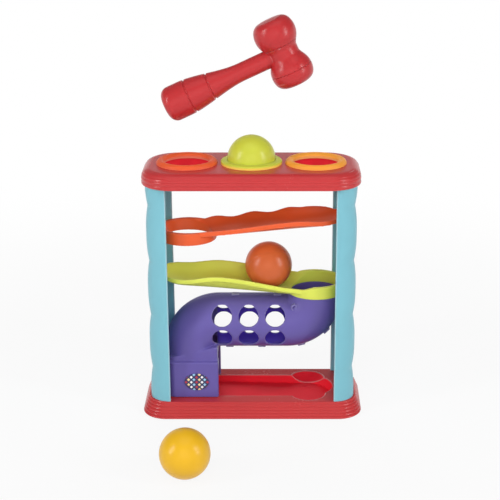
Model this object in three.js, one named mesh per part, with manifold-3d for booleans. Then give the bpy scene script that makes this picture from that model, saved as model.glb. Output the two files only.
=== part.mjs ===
// A pound and roll tower: balls are hammered through soft rings in the deck, roll down two ramps,
// drop into a tube and come to rest in the base. Millimetres, +Z up, +X right, +Y to the back.
// The origin is the middle of the base's underside.
import * as THREE from "three";
import { mergeVertices } from "three/addons/utils/BufferGeometryUtils.js";
import Module from "manifold-3d";

// Fits and walls
const CLEARANCE = 0.3;
const SHELL_WALL = 2.4;
const PANEL_WALL = 2.8;
const RAMP_WALL = 2.2;
const TUBE_WALL = 2.5;
const SOCKET_WALL = 2;

// Balls
const BALL_D = 47;
const BALL_REST_X = 16.6;
const FLOOR_BALL_X = -59;
const FLOOR_BALL_Y = -168;

// Side panels
const PANEL_LIP = 1;
const PANEL_HALF_D = 40;
const PANEL_CORNER_R = 20;
const PANEL_PLUG = 9;
const PANEL_DECK_PLUG = 2.5;
const BAY_H = 222.5;
const SCALLOP_DEPTH = 2.2;
const SCALLOP_PITCH = 56.5;
const SCALLOP_FIRST = 31.5;
const SCALLOP_STEPS = 6;
const SCALLOP_POWER = 1.5;

// Base
const BASE_H = 14.5;
const BASE_MARGIN_X = 2.5;
const BASE_MARGIN_Y = 2;
const BASE_FLARE_X = 5;
const BASE_FLARE_Y = 9;
const BASE_CORNER_R = 24;
const BASE_RIBS = 5;
const RIB_PROUD = 0.8;
const RIB_START = 0.3;
const RIB_END = 0.75;
const PLATE_T = 2;
const CHANNEL_START_GAP = 14;
const CHANNEL_END_GAP = 15.3;
const CHANNEL_SIDE_GAP = 2.5;
const CHANNEL_Z_HIGH = 9;
const CHANNEL_Z_LOW = 4.4;
const CHANNEL_WALL = 2;
const SCOOP_R = 21.4;
const SCOOP_INSET = 7.5;
const SCOOP_LIFT = 11.6;
const SCREW_INSET_X = 6;
const SCREW_INSET_Y = 14;
const SCREW_R = 1.25;
const SCREW_LENGTH = 8.5;
const SCREW_HEAD_R = 2.8;
const SCREW_HEAD_H = 1;
const SCREW_SINK = 0.2;
const POST_R = 3.5;

// Deck and soft rings
const DECK_H = 15;
const DECK_MARGIN_X = 2.1;
const DECK_MARGIN_Y = 10;
const DECK_INSET_X = 4.6;
const DECK_INSET_Y = 9.5;
const DECK_CORNER_R = 31;
const DECK_TOP_CORNER_R = 36;
const DECK_RIBS = 3;
const DECK_ROUND = 2;
const DECK_END = 10;
const RING_GAP = 3;
const RING_FLANGE = 6.5;
const RING_CREST = 3;
const RING_CREST_H = 5;
const RING_BEVEL = 1;
const RING_PLUG = 2.2;
const RING_PLUG_H = 1.3;
const RING_LIP_RISE = 1.5;
const RING_LIP_BITE = 1.6;
const BALL_RISE = 4.3;
const COLLAR_WALL = 2;
const COLLAR_H = 11;

// Ramps
const DROP_END_GAP = 5;
const DROP_GAP = 1;
const DROP_RING_WALL = 4.5;
const GUTTER_NIP = 0.3;
const RAMP_END_GAP = 6;
const GUTTER_POWER = 3.4;
const UPPER_FLOOR_Z = 185.6;
const UPPER_SLOPE = 0.0945;
const UPPER_FRONT_H = 7.2;
const UPPER_FRONT_SWELL = 2.4;
const UPPER_SWELL_X = 40;
const UPPER_SWELL_LEFT = 70;
const UPPER_SWELL_RIGHT = 35;
const UPPER_BACK_H = 8.2;
const UPPER_BACK_RISE = 0.03;
const UPPER_WAVE_H = 1.4;
const UPPER_WAVE_PITCH = 37.5;
const UPPER_RING_TOP = 188;
const UPPER_LIP_H = 5;
const LOWER_FLOOR_Z = 124.2;
const LOWER_SLOPE = 0.0892;
const LOWER_FRONT_H = 8.8;
const LOWER_FRONT_SWELL = 6;
const LOWER_BACK_H = 10.5;
const LOWER_BACK_SWELL = 5.5;
const LOWER_SWELL_X = -30;
const LOWER_SWELL_LEFT = 42;
const LOWER_SWELL_RIGHT = 80;
const LOWER_RING_TOP = 132;
const LOWER_LIP_H = 4.6;
const DROP_RING_H = 12.5;
const TAB_HALF_D = 12;
const TAB_T = 3;
const LEDGE_REACH = 4;
const LEDGE_T = 2;

// Tube
const TUBE_BORE_GAP = 1.3;
const TUBE_BEND_GAP = 1.2;
const TUBE_NECK = 2.7;
const WINDOW_D = 19.8;
const WINDOW_X = [-30, -3.4, 23.1];
const WINDOW_RISE = 11.6;
const FOOT_MARGIN_X = 0.7;
const FOOT_MARGIN_Y = 3.2;
const FOOT_END_GAP = 8;
const FOOT_H = 38.5;
const FOOT_CORNER_R = 13;
const FOOT_EDGE_R = 1.5;
const DUCT_DRAFT = 0.3;
const DUCT_RISE = 8.7;
const DUCT_LEAN = 0.24;
const ARCH_GAP = 1.5;
const ARCH_HEAD = 1.5;
const LUG_LENGTH = 6;
const LUG_HALF_D = 2.5;
const LUG_PROUD = 1.1;
const LUG_TOP_X = [-16.9, 25.5];
const LUG_BOTTOM_X = [-23.1, 9.7];
const LUG_BEND_ANGLES = [15, 45];
const STUD_ANGLE = -43;
const STUD_INSIDE = 19;
const STUD_R = 3.6;
const STUD_BORE_R = 1.9;
const STUD_PROUD = 2.6;
const BADGE_HALF_W = 12.2;
const BADGE_HALF_H = 9;
const BADGE_T = 0.9;
const BADGE_SHIFT = 6;
const BADGE_RISE = 17.5;

// Hammer
const HAMMER_X = 31;
const HAMMER_Z = 360;
const HAMMER_TILT = 25;
const CAP_R = 20.5;
const CAP_OFFSET = 19.5;
const FACE_OFFSET = 32;
const FACE_EDGE_R = 6;
const WAIST_R = 14.7;
const SEAM_UPPER = 7.5;
const SEAM_LOWER = 18;
const CAP_SPIGOT_R = 9;
const CAP_SPIGOT = 8;
const HANDLE_LENGTH = 124.8;
const HANDLE_R = 8.8;
const GRIP_R = 17.2;
const GRIP_LENGTH = 56;
const GRIP_NECK_R = 10.8;
const GRIP_END_R = 8.5;
const HANDLE_EASE = 0.3;
const GROOVES = [26, 48];
const GROOVE_DEPTH = 1.1;
const GROOVE_HALF_W = 0.9;
const HANDLE_SPIGOT_R = 6.4;
const HANDLE_SPIGOT = 6;

// Facets
const WELD = 1e-4;
const CORNER_STEPS = 5;
const ROUND_SIDES = 18;
const RING_SIDES = 24;
const SMALL_SIDES = 10;
const SCOOP_SIDES = 16;
const WINDOW_SIDES = 12;
const CURVE_STEPS = 9;
const TUBE_SIDES = 16;
const BEND_STEPS = 6;
const BALL_SIDES = 16;
const BALL_RINGS = 10;
const GUTTER_STEPS = 8;
const RAMP_STEPS = 15;
const HEAD_STEP = 4;
const CREST_STEPS = 3;
const GRIP_STEPS = 3;
const FACE_STEPS = 3;
const OVERRUN = 5;

// Sizes that follow from those above
const TURN = 2 * Math.PI;
const BALL_R = BALL_D / 2;
const DECK_Z = BASE_H + BAY_H;
const DECK_TOP = DECK_Z + DECK_H;
const RING_FLANGE_R = BALL_R + RING_FLANGE;
const RING_CREST_R = BALL_R + RING_CREST;
const RING_PLUG_R = BALL_R + RING_PLUG;
const RING_PITCH = 2 * RING_FLANGE_R + RING_GAP;
const PANEL_OUT_X = RING_PITCH + RING_FLANGE_R + DECK_END;
const PANEL_EDGE_X = PANEL_OUT_X - PANEL_CORNER_R - PANEL_LIP;
const PANEL_INSIDE_X = PANEL_OUT_X - SCALLOP_DEPTH - PANEL_WALL;
const CHANNEL_HALF_W = BALL_R + CHANNEL_SIDE_GAP;
const CHANNEL_START_X = CHANNEL_START_GAP - PANEL_INSIDE_X;
const CHANNEL_END_X = PANEL_INSIDE_X - CHANNEL_HALF_W - CHANNEL_END_GAP;
const SCOOP_Y = CHANNEL_HALF_W - SCOOP_INSET;
const SCREW_X = PANEL_INSIDE_X - SCREW_INSET_X;
const SCREW_Y = PANEL_HALF_D - SCREW_INSET_Y;
const DROP_R = BALL_R + DROP_GAP;
const DROP_RING_R = DROP_R + DROP_RING_WALL;
const DROP_X = PANEL_INSIDE_X - DROP_RING_R - DROP_END_GAP;
const RAMP_HALF_W = BALL_R - GUTTER_NIP;
const RAMP_END_X = PANEL_INSIDE_X - RAMP_END_GAP;
const END_NARROW = TAB_HALF_D / RAMP_HALF_W;
const RING_LIP_R = BALL_R - RING_LIP_BITE;
const RING_HOLE_R = RING_PLUG_R + CLEARANCE;
const RING_STRETCHED_R = (BALL_R + CLEARANCE) / Math.cos(TURN / 2 / RING_SIDES);
const BALL_SEAT_Z = DECK_TOP + BALL_RISE;
const TUBE_BORE_R = BALL_R + TUBE_BORE_GAP;
const TUBE_R = TUBE_BORE_R + TUBE_WALL;
const TUBE_BEND_R = TUBE_R + TUBE_BEND_GAP;
const TUBE_TOP = LOWER_RING_TOP - DROP_RING_H - CLEARANCE;
const TUBE_AXIS_Z = TUBE_TOP - TUBE_NECK - TUBE_BEND_R;
const FOOT_HALF_W = TUBE_R + FOOT_MARGIN_X;
const FOOT_HALF_D = TUBE_R + FOOT_MARGIN_Y;
const FOOT_Z = BASE_H + CLEARANCE;
const FOOT_TOP = BASE_H + FOOT_H;
const DUCT_HALF_D = TUBE_R - DUCT_DRAFT;
const TUBE_OUTLET_X = PANEL_INSIDE_X - FOOT_HALF_W - FOOT_END_GAP;
const BADGE_X = BADGE_SHIFT - TUBE_OUTLET_X;

const wasm = await Module();
wasm.setup();

// A closed geometry as a solid, with its faces turned outwards.
function solid(geometry) {
  const bare = geometry.clone();
  bare.deleteAttribute("normal");
  bare.deleteAttribute("uv");
  const merged = mergeVertices(bare, WELD);
  const corners = merged.index.array;
  const kept = [];
  for (let i = 0; i < corners.length; i += 3) {
    const [a, b, c] = corners.slice(i, i + 3);
    if (a !== b && b !== c && c !== a) {
      kept.push(a, b, c);
    }
  }
  const close = (order) =>
    new wasm.Manifold(
      new wasm.Mesh({
        numProp: 3,
        vertProperties: merged.attributes.position.array,
        triVerts: new Uint32Array(order),
      }),
    );
  const made = close(kept);
  return made.volume() > 0 ? made : close(kept.reverse());
}

// A skin over closed loops of points, capped at both ends. flat lays a loop's point on a plane for its cap.
function loft(loops, flat) {
  const count = loops[0].length;
  const last = count * (loops.length - 1);
  const faces = [];
  for (let k = 0; k < last; k += count) {
    for (let i = 0; i < count; i++) {
      const a = k + i;
      const b = k + ((i + 1) % count);
      faces.push(a, b, b + count, a, b + count, a + count);
    }
  }
  const capOf = (loop) => THREE.ShapeUtils.triangulateShape(loop.map(flat), []);
  for (const [a, b, c] of capOf(loops[0])) {
    faces.push(c, b, a);
  }
  for (const [a, b, c] of capOf(loops.at(-1))) {
    faces.push(last + a, last + b, last + c);
  }
  const geometry = new THREE.BufferGeometry().setFromPoints(loops.flat());
  geometry.setIndex(faces);
  return solid(geometry);
}

const fromAbove = (p) => new THREE.Vector2(p.x, p.y);
const fromTheEnd = (p) => new THREE.Vector2(p.y, p.z);

// A profile of [radius, height] points turned about Z.
function turned(profile, sides = ROUND_SIDES) {
  const points = profile.map(([r, z]) => new THREE.Vector2(r, z));
  return solid(new THREE.LatheGeometry(points, sides).rotateX(TURN / 4));
}

function rod(radius, z0, z1, sides = ROUND_SIDES) {
  return turned([[0, z0], [radius, z0], [radius, z1], [0, z1]], sides);
}

function block(x0, x1, y0, y1, z0, z1) {
  const box = new THREE.BoxGeometry(x1 - x0, y1 - y0, z1 - z0);
  return solid(box.translate((x0 + x1) / 2, (y0 + y1) / 2, (z0 + z1) / 2));
}

// A loop of a rounded rectangle at one height, with its own radius at the left and right corners.
function roundedLoop(left, right, halfD, leftR, rightR, z) {
  const corners = [
    [right - rightR, rightR - halfD, rightR, -TURN / 4],
    [right - rightR, halfD - rightR, rightR, 0],
    [left + leftR, halfD - leftR, leftR, TURN / 4],
    [left + leftR, leftR - halfD, leftR, TURN / 2],
  ];
  return corners.flatMap(([x, y, r, start]) =>
    Array.from({ length: r > 0 ? CORNER_STEPS : 1 }, (_, i) => {
      const a = start + (TURN / 4) * (i / (CORNER_STEPS - 1));
      return new THREE.Vector3(x + r * Math.cos(a), y + r * Math.sin(a), z);
    }),
  );
}

// A flared tray or lid: rounded rectangles from one size to another, with ribs standing proud of the sides.
function ribbedShell(low, high, ribs, proud, round) {
  const at = (t, out) => {
    const mix = (key) => THREE.MathUtils.lerp(low[key], high[key], t);
    const halfW = mix("halfW") + out;
    return roundedLoop(-halfW, halfW, mix("halfD") + out, mix("r") + out, mix("r") + out, mix("z"));
  };
  const loops = [];
  for (let k = 0; k < ribs; k++) {
    loops.push(at(k / ribs, 0), at((k + RIB_START) / ribs, proud), at((k + RIB_END) / ribs, proud));
  }
  loops.push(at(1, 0));
  if (round > 0) {
    const halfW = high.halfW - round;
    const r = high.r - round;
    loops.push(roundedLoop(-halfW, halfW, high.halfD - round, r, r, high.z + round));
  }
  return loft(loops, fromAbove);
}

function shellRim(halfW, halfD, r, z) {
  return { halfW, halfD, r, z };
}

// The rim of a flared shell at any height, drawn in from its side by a wall.
function rimInside(low, high, wall, z) {
  const t = (z - low.z) / (high.z - low.z);
  const mix = (key) => low[key] + (high[key] - low[key]) * t - wall;
  return shellRim(mix("halfW"), mix("halfD"), mix("r"), z);
}

// Side panels

function scallop(z) {
  const phase = (Math.PI * (z - BASE_H - SCALLOP_FIRST)) / SCALLOP_PITCH;
  return -SCALLOP_DEPTH * (1 - Math.abs(Math.sin(phase))) ** SCALLOP_POWER;
}

// The panel's outline seen from above, open towards the middle of the tower: side is 1 right, -1 left.
// A wave moves the outer side and squeezes the round part behind it.
function panelLoop(side, edge, out, halfD, r, z, wave = 0) {
  const start = out - r;
  const bend = (x) => (x > start ? start + ((x - start) * (r + wave)) / r : x);
  const loop = roundedLoop(edge, out, halfD, 0, r, z);
  const placed = loop.map((p) => new THREE.Vector3(side * bend(p.x), p.y, p.z));
  return side > 0 ? placed : placed.reverse();
}

function panelOutside(side, grow, heights, wave) {
  const loops = heights.map((z) =>
    panelLoop(
      side,
      PANEL_EDGE_X - grow,
      PANEL_OUT_X + grow,
      PANEL_HALF_D + grow,
      PANEL_CORNER_R + grow,
      z,
      wave(z),
    ),
  );
  return loft(loops, fromAbove);
}

function panelInside(side, grow, z0, z1) {
  const loops = [z0, z1].map((z) =>
    panelLoop(
      side,
      PANEL_EDGE_X - grow - OVERRUN,
      PANEL_INSIDE_X - grow,
      PANEL_HALF_D - PANEL_WALL - grow,
      PANEL_CORNER_R - PANEL_WALL - grow,
      z,
    ),
  );
  return loft(loops, fromAbove);
}

// The C that a panel's end fills, grown all round.
function panelEnd(side, grow, z0, z1) {
  const outside = panelOutside(side, grow, [z0, z1], () => 0);
  return outside.subtract(panelInside(side, grow, z0 - OVERRUN, z1 + OVERRUN));
}

function clipLedges(side, tabZ) {
  const reach = (z0, z1) => {
    const x = [side * (PANEL_INSIDE_X + PANEL_WALL / 2), side * (PANEL_INSIDE_X - LEDGE_REACH)];
    return block(Math.min(...x), Math.max(...x), -TAB_HALF_D, TAB_HALF_D, z0, z1);
  };
  const low = tabZ - TAB_T / 2 - CLEARANCE;
  const high = tabZ + TAB_T / 2 + CLEARANCE;
  return reach(low - LEDGE_T, low).add(reach(high, high + LEDGE_T));
}

function panel(side, tabHeights) {
  const z0 = BASE_H - PANEL_PLUG;
  const z1 = DECK_Z + PANEL_DECK_PLUG;
  const step = SCALLOP_PITCH / SCALLOP_STEPS;
  const heights = [z0];
  const start = BASE_H + SCALLOP_FIRST;
  for (let k = Math.ceil((z0 - start) / step + 0.5); start + k * step < z1 - step / 2; k++) {
    heights.push(start + k * step);
  }
  heights.push(z1);
  let made = panelOutside(side, 0, heights, scallop);
  made = made.subtract(panelInside(side, 0, z0 - OVERRUN, z1 + OVERRUN));
  for (const tabZ of tabHeights) {
    made = made.add(clipLedges(side, tabZ));
  }
  return made;
}

// Base

const baseTopRim = shellRim(
  PANEL_OUT_X + BASE_MARGIN_X,
  PANEL_HALF_D + BASE_MARGIN_Y,
  PANEL_CORNER_R + BASE_MARGIN_Y,
  BASE_H,
);
const baseLowRim = shellRim(
  baseTopRim.halfW + BASE_FLARE_X,
  baseTopRim.halfD + BASE_FLARE_Y,
  BASE_CORNER_R,
  0,
);

const channelFloor = (x) => {
  const far = CHANNEL_END_X + CHANNEL_HALF_W;
  const t = (x - CHANNEL_START_X) / (far - CHANNEL_START_X);
  return THREE.MathUtils.lerp(CHANNEL_Z_HIGH, CHANNEL_Z_LOW, t);
};

// The space of the ball channel, or with grow the space and its wall: a straight run with one round end.
function channel(grow, drop, top) {
  const half = CHANNEL_HALF_W + grow;
  const left = CHANNEL_START_X - grow;
  const right = CHANNEL_END_X + half;
  const flat = { bevelEnabled: false, curveSegments: CURVE_STEPS };
  const plan = new THREE.Shape();
  plan.moveTo(left, -half);
  plan.lineTo(CHANNEL_END_X, -half);
  plan.absarc(CHANNEL_END_X, 0, half, -TURN / 4, TURN / 4);
  plan.lineTo(left, half);
  const run = solid(new THREE.ExtrudeGeometry(plan, { ...flat, depth: top }));
  const side = new THREE.Shape();
  side.moveTo(left - OVERRUN, channelFloor(left - OVERRUN) - drop);
  side.lineTo(right + OVERRUN, channelFloor(right + OVERRUN) - drop);
  side.lineTo(right + OVERRUN, top + OVERRUN);
  side.lineTo(left - OVERRUN, top + OVERRUN);
  const depth = 2 * (half + OVERRUN);
  const above = new THREE.ExtrudeGeometry(side, { ...flat, depth }).rotateX(TURN / 4);
  return run.intersect(solid(above.translate(0, depth / 2, 0)));
}

function scoops(grow) {
  const ball = new THREE.SphereGeometry(SCOOP_R + grow, SCOOP_SIDES, SCOOP_SIDES / 2);
  const one = solid(ball.rotateX(TURN / 4));
  const z = BASE_H + SCOOP_LIFT;
  return one.translate([CHANNEL_END_X, -SCOOP_Y, z]).add(one.translate([CHANNEL_END_X, SCOOP_Y, z]));
}

const screwPlaces = [-1, 1].flatMap((sx) => [-1, 1].map((sy) => [sx * SCREW_X, sy * SCREW_Y]));

function atScrews(one) {
  return screwPlaces.map(([x, y]) => one.translate([x, y, 0])).reduce((sum, next) => sum.add(next));
}

function baseTray() {
  const ceiling = BASE_H - SHELL_WALL;
  const hollowLow = rimInside(baseLowRim, baseTopRim, SHELL_WALL, -OVERRUN);
  const hollowTop = rimInside(baseLowRim, baseTopRim, SHELL_WALL, ceiling);
  const stand = PLATE_T + CLEARANCE;
  const filled = channel(CHANNEL_WALL, CHANNEL_WALL, BASE_H)
    .add(scoops(CHANNEL_WALL))
    .add(atScrews(rod(POST_R, stand, BASE_H, SMALL_SIDES)))
    .add(panelEnd(1, CLEARANCE + SOCKET_WALL, stand, BASE_H))
    .add(panelEnd(-1, CLEARANCE + SOCKET_WALL, stand, BASE_H));
  const plugZ = BASE_H - PANEL_PLUG - CLEARANCE;
  const screwHole = rod(SCREW_R + CLEARANCE, 0, SCREW_LENGTH + 2 * CLEARANCE + SCREW_SINK, SMALL_SIDES);
  return ribbedShell(baseLowRim, baseTopRim, BASE_RIBS, RIB_PROUD, 0)
    .subtract(ribbedShell(hollowLow, hollowTop, 1, 0, 0).subtract(filled))
    .subtract(channel(0, 0, BASE_H + OVERRUN))
    .subtract(scoops(0))
    .subtract(panelEnd(1, CLEARANCE, plugZ, BASE_H + OVERRUN))
    .subtract(panelEnd(-1, CLEARANCE, plugZ, BASE_H + OVERRUN))
    .subtract(atScrews(screwHole));
}

function basePlate() {
  const low = rimInside(baseLowRim, baseTopRim, SHELL_WALL + CLEARANCE, 0);
  const high = rimInside(baseLowRim, baseTopRim, SHELL_WALL + CLEARANCE, PLATE_T);
  const seat = SCREW_SINK + SCREW_HEAD_H + CLEARANCE;
  const head = rod(SCREW_HEAD_R + CLEARANCE, -OVERRUN, seat, SMALL_SIDES);
  const shank = rod(SCREW_R + CLEARANCE, 0, PLATE_T + OVERRUN, SMALL_SIDES);
  return ribbedShell(low, high, 1, 0, 0).subtract(atScrews(head.add(shank)));
}

function baseScrew() {
  const seat = SCREW_SINK + SCREW_HEAD_H;
  const profile = [
    [0, SCREW_SINK],
    [SCREW_HEAD_R, SCREW_SINK],
    [SCREW_HEAD_R, seat],
    [SCREW_R, seat],
    [SCREW_R, SCREW_SINK + SCREW_LENGTH - SCREW_R],
    [0, SCREW_SINK + SCREW_LENGTH],
  ];
  return turned(profile, SMALL_SIDES);
}

// Deck and rings

function topDeck() {
  const low = shellRim(
    PANEL_OUT_X + DECK_MARGIN_X,
    PANEL_HALF_D + DECK_MARGIN_Y,
    DECK_CORNER_R,
    DECK_Z,
  );
  const shoulder = shellRim(
    low.halfW - DECK_INSET_X + DECK_ROUND,
    low.halfD - DECK_INSET_Y + DECK_ROUND,
    DECK_TOP_CORNER_R,
    DECK_TOP - DECK_ROUND,
  );
  const ceiling = DECK_TOP - SHELL_WALL;
  const hollowLow = rimInside(low, shoulder, SHELL_WALL, DECK_Z - OVERRUN);
  const hollowTop = rimInside(low, shoulder, SHELL_WALL, ceiling);
  const collar = rod(RING_HOLE_R + COLLAR_WALL, DECK_TOP - COLLAR_H, DECK_TOP - DECK_ROUND / 2);
  const bore = rod(RING_HOLE_R, DECK_Z - OVERRUN, DECK_TOP + OVERRUN, RING_SIDES);
  const atHoles = (one) =>
    one.add(one.translate([-RING_PITCH, 0, 0])).add(one.translate([RING_PITCH, 0, 0]));
  const filled = atHoles(collar)
    .add(panelEnd(1, CLEARANCE + SOCKET_WALL, DECK_Z, ceiling + SHELL_WALL / 2))
    .add(panelEnd(-1, CLEARANCE + SOCKET_WALL, DECK_Z, ceiling + SHELL_WALL / 2));
  const plugTop = DECK_Z + PANEL_DECK_PLUG + CLEARANCE;
  return ribbedShell(low, shoulder, DECK_RIBS, RIB_PROUD, DECK_ROUND)
    .subtract(ribbedShell(hollowLow, hollowTop, 1, 0, 0).subtract(filled))
    .subtract(atHoles(bore))
    .subtract(panelEnd(1, CLEARANCE, DECK_Z - OVERRUN, plugTop))
    .subtract(panelEnd(-1, CLEARANCE, DECK_Z - OVERRUN, plugTop));
}

// A soft ring: round-sectioned on the deck, with a short plug in the hole. grip is its inside radius.
function softRing(grip) {
  const seat = DECK_TOP + CLEARANCE;
  const crest = DECK_TOP + RING_CREST_H;
  const lip = DECK_TOP + RING_LIP_RISE;
  const plug = DECK_TOP - RING_PLUG_H;
  const quarter = Array.from({ length: CREST_STEPS + 1 }, (_, i) => (TURN / 4) * (i / CREST_STEPS));
  const outside = quarter.map((a) => [
    RING_CREST_R + (RING_FLANGE_R - RING_CREST_R) * Math.cos(a),
    seat + (crest - seat) * Math.sin(a),
  ]);
  const inside = quarter.slice(1).map((a) => [
    RING_CREST_R - (RING_CREST_R - grip) * Math.sin(a),
    lip + (crest - lip) * Math.cos(a),
  ]);
  const profile = [
    [RING_PLUG_R, seat],
    ...outside,
    ...inside,
    [grip + RING_BEVEL, plug],
    [RING_PLUG_R, plug],
    [RING_PLUG_R, seat],
  ];
  return turned(profile, RING_SIDES);
}

// Ramps

// One gutter section: from the floor's middle line the front and back sides climb to their own heights.
function gutterLine(ramp, x) {
  const fade = ramp.narrow(x);
  const points = [];
  for (let i = 0; i <= GUTTER_STEPS; i++) {
    const u = (2 * i) / GUTTER_STEPS - 1;
    const rim = u < 0 ? ramp.front(x) : ramp.back(x);
    const lift = rim * (1 - fade * (1 - Math.abs(u) ** GUTTER_POWER));
    points.push(new THREE.Vector3(x, u * RAMP_HALF_W * fade, ramp.floor(x) + lift));
  }
  return points;
}

function gutterLoop(ramp, x) {
  const inside = gutterLine(ramp, x);
  const front = inside[0].clone();
  const back = inside.at(-1).clone();
  const under = inside.slice(1, -1).map((p) => new THREE.Vector3(p.x, p.y, p.z - RAMP_WALL));
  const at = (p, out, down) => new THREE.Vector3(p.x, p.y + out, p.z - down);
  return [
    at(front, -RAMP_WALL, ramp.lip),
    ...under,
    at(back, RAMP_WALL, ramp.lip),
    at(back, RAMP_WALL, 0),
    ...inside.reverse(),
    at(front, -RAMP_WALL, 0),
  ];
}

function gutterSpace(ramp, x) {
  const inside = gutterLine(ramp, x);
  const sky = ramp.floor(x) + BALL_D;
  const first = inside[0];
  const last = inside.at(-1);
  return [...inside, new THREE.Vector3(x, last.y, sky), new THREE.Vector3(x, first.y, sky)];
}

// A ramp runs from a drop ring to a dished end, with a tab at each end that clips into a panel.
function rampBody(ramp) {
  const ringX = ramp.ringSide * DROP_X;
  const endX = -ramp.ringSide * RAMP_END_X;
  const stations = [];
  for (let i = 0; i <= RAMP_STEPS; i++) {
    const t = Math.sin((TURN / 4) * (i / RAMP_STEPS));
    stations.push(THREE.MathUtils.lerp(ringX, endX, t));
  }
  stations.sort((a, b) => a - b);
  const trough = loft(stations.map((x) => gutterLoop(ramp, x)), fromTheEnd);
  const space = loft(stations.map((x) => gutterSpace(ramp, x)), fromTheEnd);
  const ringLow = ramp.ringTop - DROP_RING_H;
  const ring = rod(DROP_RING_R, ringLow, ramp.ringTop).translate([ringX, 0, 0]);
  const hole = rod(DROP_R, ringLow - OVERRUN, ramp.ringTop + BALL_D).translate([ringX, 0, 0]);
  const seat = rod(DROP_RING_R, ringLow - BALL_D, ringLow).translate([ringX, 0, 0]);
  const tab = (side, fromX, z) => {
    const x = [side * (PANEL_INSIDE_X - CLEARANCE), fromX];
    return block(Math.min(...x), Math.max(...x), -TAB_HALF_D, TAB_HALF_D, z - TAB_T / 2, z + TAB_T / 2);
  };
  const seatRing = Math.sqrt(DROP_R ** 2 - TAB_HALF_D ** 2) + DROP_RING_WALL / 4;
  return trough
    .add(ring)
    .add(tab(ramp.ringSide, ringX + ramp.ringSide * seatRing, ramp.ringTabZ))
    .subtract(hole)
    .subtract(seat)
    .subtract(space)
    .add(tab(-ramp.ringSide, endX + ramp.ringSide * RAMP_HALF_W / 4, ramp.endTabZ));
}

// The dished end: 1 along the ramp, falling to a narrow end as a quarter circle.
const dishedEnd = (endX) => (x) => {
  const reach = Math.min(1, Math.abs(endX - x) / RAMP_HALF_W);
  return Math.max(END_NARROW, Math.sqrt(1 - (1 - reach) ** 2));
};

// A smooth swell that is 1 at its middle and 0 past its left and right reach.
const swell = (middle, left, right) => (x) => {
  const t = Math.min(1, Math.abs(x - middle) / (x < middle ? left : right));
  return (1 + Math.cos(Math.PI * t)) / 2;
};

const upperFloor = (x) => UPPER_FLOOR_Z + UPPER_SLOPE * x;
const lowerFloor = (x) => LOWER_FLOOR_Z - LOWER_SLOPE * x;
const upperSwell = swell(UPPER_SWELL_X, UPPER_SWELL_LEFT, UPPER_SWELL_RIGHT);
const lowerSwell = swell(LOWER_SWELL_X, LOWER_SWELL_LEFT, LOWER_SWELL_RIGHT);
const upperRamp = {
  ringSide: -1,
  ringTop: UPPER_RING_TOP,
  ringTabZ: UPPER_RING_TOP - DROP_RING_H / 2,
  endTabZ: upperFloor(RAMP_END_X) + UPPER_FRONT_H * (1 - END_NARROW),
  lip: UPPER_LIP_H,
  floor: upperFloor,
  front: (x) => UPPER_FRONT_H + UPPER_FRONT_SWELL * upperSwell(x),
  back: (x) =>
    UPPER_BACK_H + UPPER_BACK_RISE * x + UPPER_WAVE_H * Math.cos((TURN * x) / UPPER_WAVE_PITCH),
  narrow: dishedEnd(RAMP_END_X),
};
const lowerRamp = {
  ringSide: 1,
  ringTop: LOWER_RING_TOP,
  ringTabZ: LOWER_RING_TOP - DROP_RING_H / 2,
  endTabZ: lowerFloor(-RAMP_END_X) + LOWER_FRONT_H * (1 - END_NARROW),
  lip: LOWER_LIP_H,
  floor: lowerFloor,
  front: (x) => LOWER_FRONT_H + LOWER_FRONT_SWELL * lowerSwell(x),
  back: (x) => LOWER_BACK_H + LOWER_BACK_SWELL * lowerSwell(x),
  narrow: dishedEnd(-RAMP_END_X),
};

// Tube

// A round bar along the tube's path: down the inlet, round two bends and down into the foot.
function tubeRun(radius, top, bottom) {
  const inletX = DROP_X - TUBE_BEND_R;
  const outletX = TUBE_BEND_R - TUBE_OUTLET_X;
  const stations = [[DROP_X, top, 0, -1]];
  for (let i = 0; i <= BEND_STEPS; i++) {
    const a = (-TURN / 4) * (i / BEND_STEPS);
    const x = inletX + TUBE_BEND_R * Math.cos(a);
    const z = TUBE_AXIS_Z + TUBE_BEND_R + TUBE_BEND_R * Math.sin(a);
    stations.push([x, z, Math.sin(a), -Math.cos(a)]);
  }
  for (let i = 0; i <= BEND_STEPS; i++) {
    const a = (TURN / 4) * (1 + i / BEND_STEPS);
    const x = outletX + TUBE_BEND_R * Math.cos(a);
    const z = TUBE_AXIS_Z - TUBE_BEND_R + TUBE_BEND_R * Math.sin(a);
    stations.push([x, z, -Math.sin(a), Math.cos(a)]);
  }
  stations.push([-TUBE_OUTLET_X, bottom, 0, -1]);
  const angles = Array.from({ length: TUBE_SIDES }, (_, i) => (TURN * (i + 0.5)) / TUBE_SIDES);
  const loops = stations.map(([x, z, tx, tz]) =>
    angles.map((a) => {
      const out = radius * Math.cos(a);
      return new THREE.Vector3(x + tz * out, radius * Math.sin(a), z - tx * out);
    }),
  );
  return loft(loops, (_, i) => new THREE.Vector2(Math.cos(angles[i]), Math.sin(angles[i])));
}

// A square duct round the outlet, with large corners at the left. lean is the slope of its top.
function outletDuct(halfW, halfD, r, edge, z0, z1, lean) {
  const loop = (inset, z, slope) =>
    roundedLoop(
      -TUBE_OUTLET_X - halfW + inset,
      -TUBE_OUTLET_X + halfW - inset,
      halfD - inset,
      Math.max(r - inset, FOOT_EDGE_R),
      FOOT_EDGE_R,
      z,
    ).map((p) => p.setZ(p.z + slope * (p.x + TUBE_OUTLET_X)));
  return loft([loop(0, z0, 0), loop(0, z1 - edge, lean), loop(edge, z1, lean)], fromAbove);
}

// A bar along Y: windows and studs are made with it.
function crossBar(radius, x, z, y0, y1, sides = ROUND_SIDES) {
  const bar = new THREE.CylinderGeometry(radius, radius, y1 - y0, sides);
  return solid(bar.translate(x, (y0 + y1) / 2, z));
}

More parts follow.
